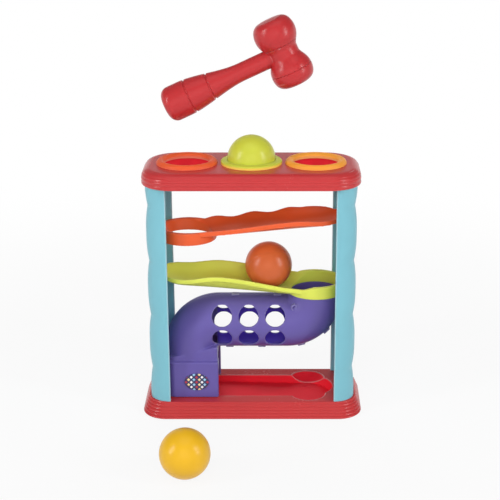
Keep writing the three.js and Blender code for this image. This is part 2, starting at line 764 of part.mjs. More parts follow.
function seamLug(x, z, turn) {
  const lug = new THREE.BoxGeometry(LUG_LENGTH, 2 * LUG_HALF_D, 2 * LUG_PROUD);
  return solid(lug.rotateY(turn).translate(x, 0, z));
}

function seamLugs() {
  const bend = DROP_X - TUBE_BEND_R;
  const far = TUBE_BEND_R + TUBE_R;
  const lugs = [
    ...LUG_TOP_X.map((x) => seamLug(x, TUBE_AXIS_Z + TUBE_R, 0)),
    ...LUG_BOTTOM_X.map((x) => seamLug(x, TUBE_AXIS_Z - TUBE_R, 0)),
    ...LUG_BEND_ANGLES.map((degrees) => {
      const a = THREE.MathUtils.degToRad(degrees);
      const z = TUBE_AXIS_Z + TUBE_BEND_R - far * Math.cos(a);
      return seamLug(bend + far * Math.sin(a), z, -a);
    }),
  ];
  return lugs.reduce((sum, next) => sum.add(next));
}

function wholeTube() {
  const ductTop = FOOT_TOP + DUCT_RISE;
  const ductHalfW = FOOT_HALF_W - FOOT_EDGE_R / 2;
  const ductR = FOOT_CORNER_R;
  const inFootW = FOOT_HALF_W - TUBE_WALL;
  const inFootD = FOOT_HALF_D - TUBE_WALL;
  const inDuctW = ductHalfW - TUBE_WALL;
  const inDuctD = DUCT_HALF_D - TUBE_WALL;
  const inR = FOOT_CORNER_R - TUBE_WALL;
  const under = FOOT_Z - OVERRUN;
  const arch = new THREE.Shape();
  const archHalf = BALL_R + ARCH_GAP;
  const archSpring = channelFloor(-TUBE_OUTLET_X) + BALL_R + ARCH_HEAD;
  arch.moveTo(-archHalf, under);
  arch.lineTo(archHalf, under);
  arch.absarc(0, archSpring, archHalf, 0, TURN / 2);
  const exit = new THREE.ExtrudeGeometry(arch, {
    depth: FOOT_HALF_W + OVERRUN,
    bevelEnabled: false,
    curveSegments: CURVE_STEPS,
  });
  exit.rotateX(TURN / 4).rotateZ(TURN / 4).translate(-TUBE_OUTLET_X, 0, 0);
  let made = tubeRun(TUBE_R, TUBE_TOP, FOOT_TOP)
    .add(seamLugs())
    .add(studBar(STUD_R, STUD_PROUD, STUD_R))
    .add(outletDuct(ductHalfW, DUCT_HALF_D, ductR, FOOT_EDGE_R, FOOT_Z, ductTop, DUCT_LEAN))
    .add(outletDuct(FOOT_HALF_W, FOOT_HALF_D, FOOT_CORNER_R, FOOT_EDGE_R, FOOT_Z, FOOT_TOP, 0))
    .subtract(tubeRun(TUBE_BORE_R, TUBE_TOP + OVERRUN, under))
    .subtract(outletDuct(inDuctW, inDuctD, inR, FOOT_EDGE_R, under, ductTop - TUBE_WALL, DUCT_LEAN))
    .subtract(outletDuct(inFootW, inFootD, inR, FOOT_EDGE_R, under, FOOT_TOP - TUBE_WALL, 0))
    .subtract(solid(exit))
    .subtract(studBar(STUD_BORE_R, STUD_PROUD + OVERRUN, -STUD_PROUD / 4));
  for (const x of WINDOW_X) {
    for (const rise of [-WINDOW_RISE, WINDOW_RISE]) {
      const far = TUBE_R + OVERRUN;
      made = made.subtract(crossBar(WINDOW_D / 2, x, TUBE_AXIS_Z + rise, -far, far, WINDOW_SIDES));
    }
  }
  return made;
}

// A bar along Y at the stud, on the inside of the inlet bend, from proud of the tube's face to deep in it.
function studBar(radius, proud, deep) {
  const reach = TUBE_BEND_R - STUD_INSIDE;
  const a = THREE.MathUtils.degToRad(STUD_ANGLE);
  const x = DROP_X - TUBE_BEND_R + reach * Math.cos(a);
  const z = TUBE_AXIS_Z + TUBE_BEND_R + reach * Math.sin(a);
  const face = -Math.sqrt(TUBE_R ** 2 - STUD_INSIDE ** 2);
  return crossBar(radius, x, z, face - proud, face + deep, SMALL_SIDES);
}

function tubeHalf(whole, side) {
  const far = 2 * DROP_X + TUBE_R;
  const y = [side * CLEARANCE / 2, side * (FOOT_HALF_D + OVERRUN)];
  return whole.intersect(block(-far, far, Math.min(...y), Math.max(...y), 0, DECK_Z));
}

function badge() {
  const oval = new THREE.Shape();
  oval.absellipse(0, 0, BADGE_HALF_W, BADGE_HALF_H, 0, TURN, false, 0);
  const flat = { depth: BADGE_T, bevelEnabled: false, curveSegments: CURVE_STEPS };
  const plate = new THREE.ExtrudeGeometry(oval, flat).rotateX(TURN / 4);
  return solid(plate.translate(BADGE_X, -FOOT_HALF_D - CLEARANCE, BASE_H + BADGE_RISE));
}

// Hammer

// The head's radius at a height from its middle: a waist that runs out into a ball at each end.
function headRadius(h, grow) {
  const off = Math.abs(h) - CAP_OFFSET;
  const ball = Math.sqrt(Math.max(0, CAP_R ** 2 - off ** 2));
  return Math.max(WAIST_R, ball) + grow;
}

function headProfile(from, to, grow) {
  const steps = Math.ceil((to - from) / HEAD_STEP);
  return Array.from({ length: steps + 1 }, (_, i) => {
    const h = THREE.MathUtils.lerp(from, to, i / steps);
    return [headRadius(h, grow), h];
  });
}

// A stretch of the head with its straight waist, solid, and grown to make a seat for the handle.
function headStretch(low, high, grow) {
  const neck = CAP_OFFSET - Math.sqrt(CAP_R ** 2 - WAIST_R ** 2);
  const below = headProfile(low, -neck, grow);
  const above = headProfile(neck, high, grow);
  return turned([[0, low], ...below, ...above, [0, high]]);
}

// A cap from its seam to a flat striking face with a large round edge.
function hammerCap(seam) {
  const side = seam + CLEARANCE / 2;
  const socket = CAP_SPIGOT_R + CLEARANCE;
  const bottom = seam + CAP_SPIGOT + CLEARANCE;
  const edgeH = FACE_OFFSET - FACE_EDGE_R;
  const toEdge = CAP_R - FACE_EDGE_R;
  const edgeR = Math.sqrt(toEdge ** 2 - (edgeH - CAP_OFFSET) ** 2);
  const start = Math.asin((edgeH - CAP_OFFSET) / toEdge);
  const edge = Array.from({ length: FACE_STEPS + 1 }, (_, i) => {
    const a = THREE.MathUtils.lerp(start, TURN / 4, i / FACE_STEPS);
    return [edgeR + FACE_EDGE_R * Math.cos(a), edgeH + FACE_EDGE_R * Math.sin(a)];
  });
  const turnH = edge[0][1];
  return turned([
    [0, bottom],
    [socket, bottom],
    [socket, side],
    ...headProfile(side, turnH, 0).slice(0, -1),
    ...edge,
    [0, FACE_OFFSET],
  ]);
}

function hammerHead() {
  const spigot = rod(CAP_SPIGOT_R, -SEAM_LOWER - CAP_SPIGOT, SEAM_UPPER + CAP_SPIGOT);
  const bore = rod(HANDLE_SPIGOT_R + CLEARANCE, HANDLE_SPIGOT - CLEARANCE, WAIST_R + OVERRUN);
  const waist = headStretch(CLEARANCE / 2 - SEAM_LOWER, SEAM_UPPER - CLEARANCE / 2, 0);
  return waist.add(spigot).subtract(bore.rotate([0, -90, 0]));
}

// The handle along Z from the head's middle outwards, later laid along the hammer's length.
function hammerHandle() {
  const end = HANDLE_LENGTH;
  const grip = end - GRIP_LENGTH;
  const groove = (z, r) => [
    [r, z - GROOVE_HALF_W],
    [r - GROOVE_DEPTH, z],
    [r, z + GROOVE_HALF_W],
  ];
  const gripR = (z) => {
    const t = (z - grip) / (GRIP_LENGTH - GROOVES[0]);
    return THREE.MathUtils.lerp(GRIP_NECK_R, GRIP_R, THREE.MathUtils.clamp(t, 0, 1));
  };
  const roundEnd = Array.from({ length: GRIP_STEPS + 1 }, (_, i) => {
    const a = (TURN / 4) * (i / GRIP_STEPS);
    return [GRIP_R - GRIP_END_R + GRIP_END_R * Math.cos(a), end - GRIP_END_R + GRIP_END_R * Math.sin(a)];
  });
  const blend = (grip + WAIST_R) / 2;
  const shaft = turned([
    [0, 0],
    [HANDLE_R, 0],
    [HANDLE_R, blend],
    [THREE.MathUtils.lerp(HANDLE_R, GRIP_NECK_R, HANDLE_EASE), (blend + grip) / 2],
    ...[...GROOVES].reverse().flatMap((back) => groove(end - back, gripR(end - back))),
    ...roundEnd,
    [0, end],
  ]);
  const seat = headStretch(-CAP_OFFSET, CAP_OFFSET, CLEARANCE).rotate([0, 90, 0]);
  return shaft.subtract(seat).add(rod(HANDLE_SPIGOT_R, HANDLE_SPIGOT, 2 * WAIST_R));
}

// Assembly

const group = new THREE.Group();

function addPiece(name, made, color, roughness) {
  const mesh = made.getMesh();
  const geometry = new THREE.BufferGeometry();
  geometry.setAttribute("position", new THREE.BufferAttribute(mesh.vertProperties, mesh.numProp));
  geometry.setIndex(new THREE.BufferAttribute(mesh.triVerts, 1));
  geometry.computeVertexNormals();
  const material = new THREE.MeshStandardMaterial({ color, roughness, metalness: 0 });
  const piece = new THREE.Mesh(geometry, material);
  piece.name = name;
  group.add(piece);
  return piece;
}

const RED = 0xd0383f;
const BLUE = 0x82c4d4;
const ORANGE = 0xd9521f;
const LIME = 0xc3c834;
const PURPLE = 0x6a5aa8;
const YELLOW = 0xf0b42a;
const AMBER = 0xf3a23c;
const NAVY = 0x2a2c4c;
const STEEL = 0xb8b8b8;
const SATIN = 0.4;
const SOFT = 0.55;

addPiece("base_tray", baseTray(), RED, SATIN);
addPiece("base_plate", basePlate(), RED, SATIN);
screwPlaces.forEach(([x, y], i) => {
  addPiece(`base_screw_${i + 1}`, baseScrew().translate([x, y, 0]), STEEL, SATIN);
});
addPiece("left_panel", panel(-1, [upperRamp.ringTabZ, lowerRamp.endTabZ]), BLUE, SATIN);
addPiece("right_panel", panel(1, [upperRamp.endTabZ, lowerRamp.ringTabZ]), BLUE, SATIN);
addPiece("top_deck", topDeck(), RED, SATIN);
addPiece("ring_orange", softRing(RING_LIP_R).translate([-RING_PITCH, 0, 0]), ORANGE, SOFT);
addPiece("ring_lime", softRing(RING_STRETCHED_R), LIME, SOFT);
addPiece("ring_yellow", softRing(RING_LIP_R).translate([RING_PITCH, 0, 0]), AMBER, SOFT);
addPiece("upper_ramp", rampBody(upperRamp), ORANGE, SATIN);
addPiece("lower_ramp", rampBody(lowerRamp), LIME, SATIN);
const tube = wholeTube();
addPiece("tube_front", tubeHalf(tube, -1), PURPLE, SATIN);
addPiece("tube_back", tubeHalf(tube, 1), PURPLE, SATIN);
addPiece("badge", badge(), NAVY, SATIN);

// The hammer hangs above the deck, its handle rising to the head.
const hammerPlace = (made, lean) => made.rotate([0, lean, 0]).translate([HAMMER_X, 0, HAMMER_Z]);
addPiece("hammer_handle", hammerPlace(hammerHandle(), -90 - HAMMER_TILT), RED, SATIN);
addPiece("hammer_head", hammerPlace(hammerHead(), -HAMMER_TILT), RED, SATIN);
addPiece("hammer_cap_upper", hammerPlace(hammerCap(SEAM_UPPER), -HAMMER_TILT), RED, SATIN);
const lowerCap = hammerCap(SEAM_LOWER).rotate([180, 0, 0]);
addPiece("hammer_cap_lower", hammerPlace(lowerCap, -HAMMER_TILT), RED, SATIN);

const ball = solid(new THREE.SphereGeometry(BALL_R, BALL_SIDES, BALL_RINGS).rotateX(TURN / 4));
const lowerTilt = Math.atan(LOWER_SLOPE);
const rollZ = lowerFloor(BALL_REST_X) + (BALL_R + CLEARANCE) / Math.cos(lowerTilt);
addPiece("ball_lime", ball.translate([0, 0, BALL_SEAT_Z]), LIME, SATIN);
addPiece("ball_orange", ball.translate([BALL_REST_X, 0, rollZ]), ORANGE, SATIN);
addPiece("ball_yellow", ball.translate([FLOOR_BALL_X, FLOOR_BALL_Y, BALL_R]), YELLOW, SATIN);

export default group;
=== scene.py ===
import math

import bpy
import numpy as np
from mathutils import Matrix, Vector
from mathutils.geometry import delaunay_2d_cdt


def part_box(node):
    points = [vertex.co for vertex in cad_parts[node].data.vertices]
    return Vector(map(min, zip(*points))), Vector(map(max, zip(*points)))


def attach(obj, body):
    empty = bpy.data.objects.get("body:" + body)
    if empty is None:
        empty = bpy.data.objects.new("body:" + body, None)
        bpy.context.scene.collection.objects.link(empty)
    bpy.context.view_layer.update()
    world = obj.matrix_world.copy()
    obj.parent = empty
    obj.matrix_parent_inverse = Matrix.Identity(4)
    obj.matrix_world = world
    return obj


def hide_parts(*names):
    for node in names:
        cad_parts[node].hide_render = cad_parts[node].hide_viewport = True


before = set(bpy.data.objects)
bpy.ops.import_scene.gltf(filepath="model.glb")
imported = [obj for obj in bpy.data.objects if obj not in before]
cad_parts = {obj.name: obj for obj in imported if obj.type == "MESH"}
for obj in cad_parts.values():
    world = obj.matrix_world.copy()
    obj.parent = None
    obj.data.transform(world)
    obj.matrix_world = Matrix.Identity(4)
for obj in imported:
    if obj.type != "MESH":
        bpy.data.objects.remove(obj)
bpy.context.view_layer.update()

# Sizes are in millimetres, with +Z up, +X right and +Y to the back. Meshes are scaled to metres
# when they are made.
MM = 0.001
TURN = 2 * math.pi
OVERLAP = 0.1
FINE_SIDES = 128


def node_box(node):
    """A node's lowest and highest corners, in millimetres."""
    low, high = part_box(node)
    return np.array(low) / MM, np.array(high) / MM


# Sizes read from the frame
(_, _, BALL_LOW), (_, _, BALL_HIGH) = node_box("ball_lime")
BALL_R = (BALL_HIGH - BALL_LOW) / 2
BASE_H = node_box("base_tray")[1][2]
(_, _, DECK_Z), (_, _, DECK_TOP) = node_box("top_deck")
(PANEL_EDGE_X, _, PANEL_LOW), (PANEL_OUT_X, PANEL_HALF_D, PANEL_HIGH) = node_box("right_panel")
(RING_LEFT, _, _), (RING_RIGHT, RING_FLANGE_R, RING_CREST_Z) = node_box("ring_yellow")
RING_PITCH = (RING_LEFT + RING_RIGHT) / 2

# Points over the flat tops of the base and the deck
TOP_GRID = 4
EDGE_ROWS = (0.5, 1.2)
ROWS_CLEAR = 3

# Side panels
PANEL_WALL = 2.8
PANEL_CORNER_R = 20
PANEL_LIP = 1
PANEL_STEP = 1.5
SCALLOP_DEPTH = 2.2
SCALLOP_PITCH = 56.5
SCALLOP_FIRST = 31.5
SCALLOP_POWER = 1.5

# Base: its top and low rims are (half width, half depth, corner radius)
BASE_TOP = (105.5, 42, 22)
BASE_LOW = (110.5, 51.5, 24)
BASE_RIBS, RIB_STEPS = 5, 10
BASE_EDGE_R = 1.4
BASE_HEM = 6
BASE_TUCK = 1.8
BASE_UNDER_Z = 2.25
RIB_PROUD = 0.65
RIB_ROUND = 0.6
CHANNEL_START_X = -84
CHANNEL_END_X = 56.7
CHANNEL_HALF_W = 26
CHANNEL_Z_HIGH = 9
CHANNEL_Z_LOW = 4.4
CHANNEL_LEAN = 1.3
CHANNEL_ROWS = (-0.5, 0, 0.25, 0.5, 0.8, 1.05, CHANNEL_LEAN, CHANNEL_LEAN + 0.6)
CHANNEL_STEP = 1.2
SCOOP_R = 21.4
SCOOP_Y = 18.5
SCOOP_LIFT = 11.6
SCOOP_RIM = math.sqrt(SCOOP_R ** 2 - SCOOP_LIFT ** 2)
SCOOP_STEP = 0.9
SCOOP_RIM_ROWS = (-0.2, 0, 0.4)
BASE_POINT_GAP, BASE_EDGE_CLEAR = 0.22, 0.6

# Deck and rings: the deck's side is a rim too
DECK_SIDE = (106, 49.4, 33)
DECK_RIBS, DECK_RIB_PROUD = 4, 0.5
DECK_SHOULDER_R = 8.8
DECK_LOOPS = 64
DECK_WALL = 2.4
HOLE_R = 26
COLLAR_WALL = 2
COLLAR_H = 11
COLLAR_ROWS = (0, 0.5, 1.2, 3, 6, COLLAR_H - 1.2, COLLAR_H - 0.5, COLLAR_H)
RING_CREST_R, RING_CREST_DROP = 26, 0.8
RING_GRIP_R = 21.9
RING_DISH = 1.6
RING_STRETCHED_R, STRETCHED_RIM_R, STRETCHED_H = 23.75, 2, 3.4
RING_PLUG_R = 25.7
RING_PLUG_H = 1.3
RING_PLUG_TAPER = 1
RING_LIP_RISE = 1.5

# Ramps
RAMP_WALL = 2.2
RAMP_HALF_W = 23.2
RAMP_END_X = 92
RAMP_STATIONS = 81
RAMP_VOXEL, RAMP_PASSES = 0.7, 5
GUTTER_POWER = 3.4
DROP_X = 64
DROP_R = 24.5
DROP_RING_R = 29
DROP_RING_H = 12.5
DROP_RING_ROWS = 8
RING_BLEND = 15
TAB_HALF_D = 12
TAB_T = 3
TAB_END_X = 97.7
TAB_IN_RING = math.sqrt(DROP_R ** 2 - TAB_HALF_D ** 2) + 1
END_NARROW = TAB_HALF_D / RAMP_HALF_W
LEDGE_GAP, LEDGE_T = 0.3, 2
LEDGE_START_X, LEDGE_END_X = RAMP_END_X + 2, TAB_END_X + 1
UPPER_FLOOR_Z, UPPER_SLOPE = 185.6, 0.0945
UPPER_FRONT_H, UPPER_FRONT_SWELL = 7.2, 2.4
UPPER_SWELL = {"middle": 40, "left": 70, "right": 35}
UPPER_BACK_H, UPPER_BACK_RISE = 8.2, 0.03
UPPER_WAVE_H, UPPER_WAVE_PITCH = 1.4, 37.5
UPPER_DROOP, UPPER_DROOP_X, UPPER_DROOP_LENGTH = 4.8, 50, 32
UPPER_RING_TOP, UPPER_LIP_H = 188, 5
LOWER_FLOOR_Z, LOWER_SLOPE = 124.2, 0.0892
LOWER_FRONT_H, LOWER_FRONT_SWELL = 8.8, 6
LOWER_SWELL = {"middle": -30, "left": 42, "right": 80}
LOWER_BACK_H, LOWER_BACK_SWELL = 10.5, 5.5
LOWER_RING_TOP, LOWER_LIP_H = 132, 4.6

# Tube
TUBE_WALL = 2.5
TUBE_BORE_R = 24.8
TUBE_R = 27.3
TUBE_BEND_R = 28.5
TUBE_TOP = 119.2
TUBE_AXIS_Z = 88
TUBE_OUTLET_X = 62
TUBE_SEAM = 0.3
TUBE_VOXEL, TUBE_PASSES = 0.8, 4
WINDOW_R, WINDOW_SIDES = 9.9, 48
WINDOW_X = (-30, -3.4, 23.1)
WINDOW_RISE = 11.6
FOOT_HALF_W, FOOT_HALF_D = 28, 30.5
FOOT_LOW, FOOT_TOP = 14.8, 53
FOOT_CORNER_R, FOOT_EDGE_R, FOOT_LEAST_R = 13, 1.5, 0.5
DUCT_HALF_W, DUCT_HALF_D, DUCT_TOP, DUCT_LEAN = 27.25, 27, 61.7, 0.24
ARCH_HALF_W, ARCH_SPRING = 25, 33.4
LUG_LENGTH, LUG_HALF_D, LUG_PROUD, LUG_EDGE = 7.6, 4, 2, 0.4
LUG_TOP_X, LUG_TOP_SINK = (-16.9, 25.5), 1.4
LUG_BOTTOM_X = (-23.1, 9.7)
LUG_BEND_ANGLES = (15, 45)
STUD_X, STUD_Z, STUD_FACE, STUD_SIDES = 42.45, 108.4, 19.6, 48
STUD_R, STUD_BORE_R, STUD_PROUD, STUD_EDGE = 3.6, 1.9, 2.6, 0.5

# Badge: its rows are (share of the width, drop below the crown)
BADGE_X, BADGE_Z = -56, 32
BADGE_HALF_W, BADGE_HALF_H, BADGE_SIDES = 12.2, 9, 72
BADGE_BACK_Y, BADGE_T = -30.8, 0.9
BADGE_ROWS = ((1, BADGE_T), (1, 0.5), (0.985, 0.25), (0.955, 0.12), (0.6, 0.04), (0.05, 0))
LOZENGE_PITCH, LOZENGE_EDGE = 5.4, (0.27, 0.31)

# Hammer
HAMMER_X, HAMMER_Z, HAMMER_TILT = 31, 360, 25
CAP_R, CAP_OFFSET = 20.5, 19.5
FACE_UPPER, FACE_LOWER, FACE_EDGE_R = 33.6, 32.4, 9.5
FACE_CROWN, FACE_ROWS = 0.7, (0.8, 0.6, 0.4, 0.2, 0)
CREASE_DEPTH, CREASE_AT, CREASE_HALF_W = 0.35, 71, 2
CREASE_ROWS = (-3, -1.5, 0, 1.5, 3)
WAIST_R, WAIST_FILLET = 14.7, 3
SEAM_UPPER, SEAM_LOWER, SEAM_GAP, SEAM_DEPTH = 7.5, 18, 0.08, 0.55
SEAM_ROWS = (-0.5, -0.3, -0.15, 0.15, 0.3, 0.5)
HANDLE_LENGTH, HANDLE_R, HANDLE_SINK, HANDLE_LOOPS = 124.8, 8.8, 3, 90
GRIP_R, GRIP_START, GRIP_FULL, GRIP_END_R = 17.2, 44, 106, 8.5
GROOVES = (26, 48)
GROOVE_DEPTH, GROOVE_HALF_W, GROOVE_ROUND = 1.1, 1.1, 0.8
GROOVE_REACH, GROOVE_LOOPS = 1.3, 15

# Balls: the parting line's half width is in radians, and its rows in degrees from the middle
PARTING_DEPTH, PARTING_HALF = 0.05, 0.004
PARTING_ROWS = (-0.35, -0.15, 0.15, 0.35)

# Floor, light and camera, in metres
FLOOR_HALF = 12
FLOOR_DROP = 0.0002
FLOOR_GREYS = (0.74, 0.76)
FLOOR_CLOUDS = 3
FLOOR_SHADE = 0.12
FLOOR_NEAR, FLOOR_FAR = 0.3, 0.9
ROOM_WHITE, ROOM_DIM = 0.985, 0.25
ROOM_RISE = (0.12, 0.3)
ROOM_LIGHT = 0.12
AIM = (0, 0, 0.17)
CAMERA_PLACE = (0.022, -1.1854, 0.5587)
CAMERA_DOWN = 18.5
CAMERA_LENS, CAMERA_SENSOR = 90, 36
CAMERA_SHIFT = -0.048

# Each lamp's name, place, size, watts and whether glossy pieces mirror it
LAMPS = (
    ("soft_box_left", (-1.42, -0.76, 0.8), (0.24, 1), 10, True),
    ("soft_box_right", (1.42, -0.76, 0.8), (0.24, 1), 10, True),
    ("soft_box_top", (0, -0.4, 1.7), (1.4, 1.2), 4, True),
    ("front_fill", (0, -2.1, 1.0), (2.4, 1.4), 34, False),
    ("back_fill", (0, 2.1, 1.0), (2.4, 1.4), 34, False),
)


# Meshes

class Form:
    """Points in millimetres and the faces between them."""

    def __init__(self, points, faces):
        self.points = np.array(points, float).reshape(-1, 3)
        self.faces = [tuple(int(i) for i in face) for face in faces]

    def __add__(self, other):
        shift = len(self.points)
        faces = [tuple(i + shift for i in face) for face in other.faces]
        return Form(np.vstack([self.points, other.points]), self.faces + faces)

    def moved(self, x=0, y=0, z=0):
        return Form(self.points + (x, y, z), self.faces)

    def turned_by(self, degrees, axis):
        turn = np.array(Matrix.Rotation(math.radians(degrees), 3, axis))
        return Form(self.points @ turn.T, self.faces)

    def turned_over(self):
        """The same form with its faces the other way out."""
        return Form(self.points, [face[::-1] for face in self.faces])

    def outward(self):
        """A closed form with its faces outwards."""
        volume = 0
        for first, *rest in self.faces:
            for b, c in zip(rest, rest[1:]):
                volume += np.dot(self.points[first], np.cross(self.points[b], self.points[c]))
        return self if volume > 0 else self.turned_over()

    def welded(self):
        """Points that fall together become one."""
        keys = np.round(self.points, 3)
        _, first, place = np.unique(keys, axis=0, return_index=True, return_inverse=True)
        place = place.reshape(-1)
        faces = []
        for face in self.faces:
            ring = [place[i] for i in face]
            ring = [p for i, p in enumerate(ring) if p != ring[i - 1]]
            if len(set(ring)) > 2:
                faces.append(ring)
        return Form(self.points[first], faces)

    def mesh(self, name):
        mesh = bpy.data.meshes.new(name)
        mesh.from_pydata(self.points.tolist(), [], self.faces)
        mesh.validate()
        return mesh


def skin(loops, ends=True):
    """A skin over closed loops of points, with a flat face on each end if ends is true."""
    count = len(loops[0])
    faces = []
    for k in range(len(loops) - 1):
        for i in range(count):
            a, b = k * count + i, k * count + (i + 1) % count
            faces.append((a, b, b + count, a + count))
    if ends:
        last = count * (len(loops) - 1)
        faces.append(tuple(range(count))[::-1])
        faces.append(tuple(range(last, last + count)))
        return Form(np.concatenate(loops), faces).outward()
    return Form(np.concatenate(loops), faces)


def turned(profile, sides=96):
    """A profile of (radius, height) points turned about Z.

    It starts and ends on the axis, or closes on itself.
    """
    angles = TURN * np.arange(sides) / sides
    ring = np.stack([np.cos(angles), np.sin(angles)], 1)
    loops = [np.column_stack([ring * max(r, 0), np.full(sides, z)]) for r, z in profile]
    return skin(loops, ends=False).welded()


def rod(radius, z0, z1, sides):
    return turned([(0, z0), (radius, z0), (radius, z1), (0, z1)], sides)


def block(low, high):
    corners = [(x, y, z) for z in (low[2], high[2]) for x, y in (
        (low[0], low[1]), (high[0], low[1]), (high[0], high[1]), (low[0], high[1]))]
    return skin([corners[:4], corners[4:]])


def arc(start, end, steps):
    """Angles from start to end in degrees, as radians."""
    return np.radians(np.linspace(start, end, steps + 1))


def rounded_loop(left, right, half_d, left_r, right_r, z, steps=12):
    """A rounded rectangle at one height, with its own radius at the left and right corners."""
    corners = (
        (right - right_r, right_r - half_d, right_r, -90),
        (right - right_r, half_d - right_r, right_r, 0),
        (left + left_r, half_d - left_r, left_r, 90),
        (left + left_r, left_r - half_d, left_r, 180),
    )
    points = []
    for x, y, r, start in corners:
        for a in arc(start, start + 90, steps):
            points.append((x + r * math.cos(a), y + r * math.sin(a), z))
    return np.array(points)


def rim_loop(rim, z, out=0):
    """A loop of a (half width, half depth, corner radius) rim, grown all round."""
    half_w, half_d, r = (size + out for size in rim)
    return rounded_loop(-half_w, half_w, half_d, r, r, z)


def mixed(a, b, t):
    """Values a share t of the way from a to b."""
    return tuple(p + (q - p) * t for p, q in zip(a, b))


def open_grid(half_w, half_d):
    """Points at an even pitch over a rectangle."""
    across, along = np.arange(-half_w, half_w, TOP_GRID), np.arange(-half_d, half_d, TOP_GRID)
    return np.stack(np.meshgrid(across, along), 2).reshape(-1, 2)


def smooth_step(t):
    t = np.clip(t, 0, 1)
    return t * t * (3 - 2 * t)


def rounded_box_distance(x, y, half_w, half_d, r):
    """How far points lie outside a rounded rectangle, below 0 inside."""
    qx, qy = np.abs(x) - half_w + r, np.abs(y) - half_d + r
    return np.hypot(np.maximum(qx, 0), np.maximum(qy, 0)) + np.minimum(np.maximum(qx, qy), 0) - r


def sheet_in(outline, inner, height, holes=()):
    """Triangles inside an outline and outside its round holes, over inner points.

    Their height is worked out from x and y.
    """
    loops = [np.asarray(outline)[:, :2]] + [np.asarray(hole)[:, :2] for hole in holes]
    points, edges = [], []
    for loop in loops:
        first = len(points)
        points += [Vector(p) for p in loop]
        edges += [(first + i, first + (i + 1) % len(loop)) for i in range(len(loop))]
    points += [Vector(p) for p in inner]
    inside_only, closest = 1, 1e-5
    flat, _, faces, *_ = delaunay_2d_cdt(points, edges, [], inside_only, closest)
    flat = np.array([tuple(p) for p in flat])
    rounds = [(hole.mean(0), np.hypot(*(hole[0] - hole.mean(0)))) for hole in loops[1:]]
    kept = []
    for face in faces:
        middle = flat[list(face)].mean(0)
        if not any(np.hypot(*(middle - centre)) < r for centre, r in rounds):
            kept.append(face)
    return Form(np.column_stack([flat, height(flat[:, 0], flat[:, 1])]), kept)


def baked(form, changes, name):
    """A mesh made from a form by a stack of modifiers: each change is a type and its settings."""
    obj = bpy.data.objects.new(name, form.mesh(name))
    bpy.context.scene.collection.objects.link(obj)
    helpers = []
    for kind, settings in changes:
        modifier = obj.modifiers.new(kind.lower(), kind)
        for key, value in settings.items():
            if isinstance(value, Form):
                value = bpy.data.objects.new(key, value.mesh(key))
                bpy.context.scene.collection.objects.link(value)
                helpers.append(value)
            setattr(modifier, key, value)
    bpy.context.view_layer.update()
    finished = obj.evaluated_get(bpy.context.evaluated_depsgraph_get())
    made = bpy.data.meshes.new_from_object(finished)
    for helper in helpers + [obj]:
        bpy.data.objects.remove(helper)
    return made


def joined(form):
    return "BOOLEAN", {"operation": "UNION", "solver": "EXACT", "object": form}


def cut_by(form):
    return "BOOLEAN", {"operation": "DIFFERENCE", "solver": "EXACT", "object": form}


def kept_in(form):
    return "BOOLEAN", {"operation": "INTERSECT", "solver": "EXACT", "object": form}


def softened(voxel, passes):
    """An even mesh with its edges worn round, as a mould leaves them."""
    return [
        ("REMESH", {"mode": "VOXEL", "voxel_size": voxel}),
        ("SMOOTH", {"factor": 0.5, "iterations": passes}),
    ]


def piece(name, made, finish, body, slot, *nodes, crease=35):
    """A smooth-shaded piece with a finish, riding on a body in place of its nodes."""
    mesh = made.mesh(name) if isinstance(made, Form) else made
    mesh.name = name
    mesh.transform(Matrix.Scale(MM, 4))
    mesh.shade_smooth()
    mesh.set_sharp_from_angle(angle=math.radians(crease))
    mesh.materials.clear()
    mesh.materials.append(finish.material)
    obj = bpy.data.objects.new(name, mesh)
    bpy.context.scene.collection.objects.link(obj)
    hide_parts(*nodes)
    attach(obj, body)


# Finishes

class Wire:
    """A value in a node tree: sums of wires and numbers add Math nodes."""

    def __init__(self, nodes, socket):
        self.nodes = nodes
        self.socket = socket

    def math(self, operation, *values):
        return self.nodes.node("ShaderNodeMath", {"operation": operation}, dict(enumerate(values)))

    def __add__(self, other):
        return self.math("ADD", self, other)

    def __radd__(self, other):
        return self.math("ADD", other, self)

    def __sub__(self, other):
        return self.math("SUBTRACT", self, other)

    def __rsub__(self, other):
        return self.math("SUBTRACT", other, self)

    def __mul__(self, other):
        return self.math("MULTIPLY", self, other)

    def __rmul__(self, other):
        return self.math("MULTIPLY", other, self)

    def __truediv__(self, other):
        return self.math("DIVIDE", self, other)

    def __pow__(self, other):
        return self.math("POWER", self, other)

    def fraction(self):
        return self.math("FRACT", self)

    def size(self):
        return self.math("ABSOLUTE", self)

    def positive(self):
        return self.math("MAXIMUM", self, 0)

    def within(self, low, high):
        """0 below low, 1 above high, and a smooth rise between."""
        sockets = {"Value": self, "From Min": low, "From Max": high}
        settings = {"interpolation_type": "SMOOTHSTEP"}
        return self.nodes.node("ShaderNodeMapRange", settings, sockets, "Result")

    def past(self, edge, fade):
        """0 before an edge and 1 past it. The fade is the start and end of the rise from there."""
        return self.within(edge + fade[0], edge + fade[1])

    def short_of(self, edge, fade):
        """1 before an edge and 0 past it."""
        return 1 - self.past(edge, fade)


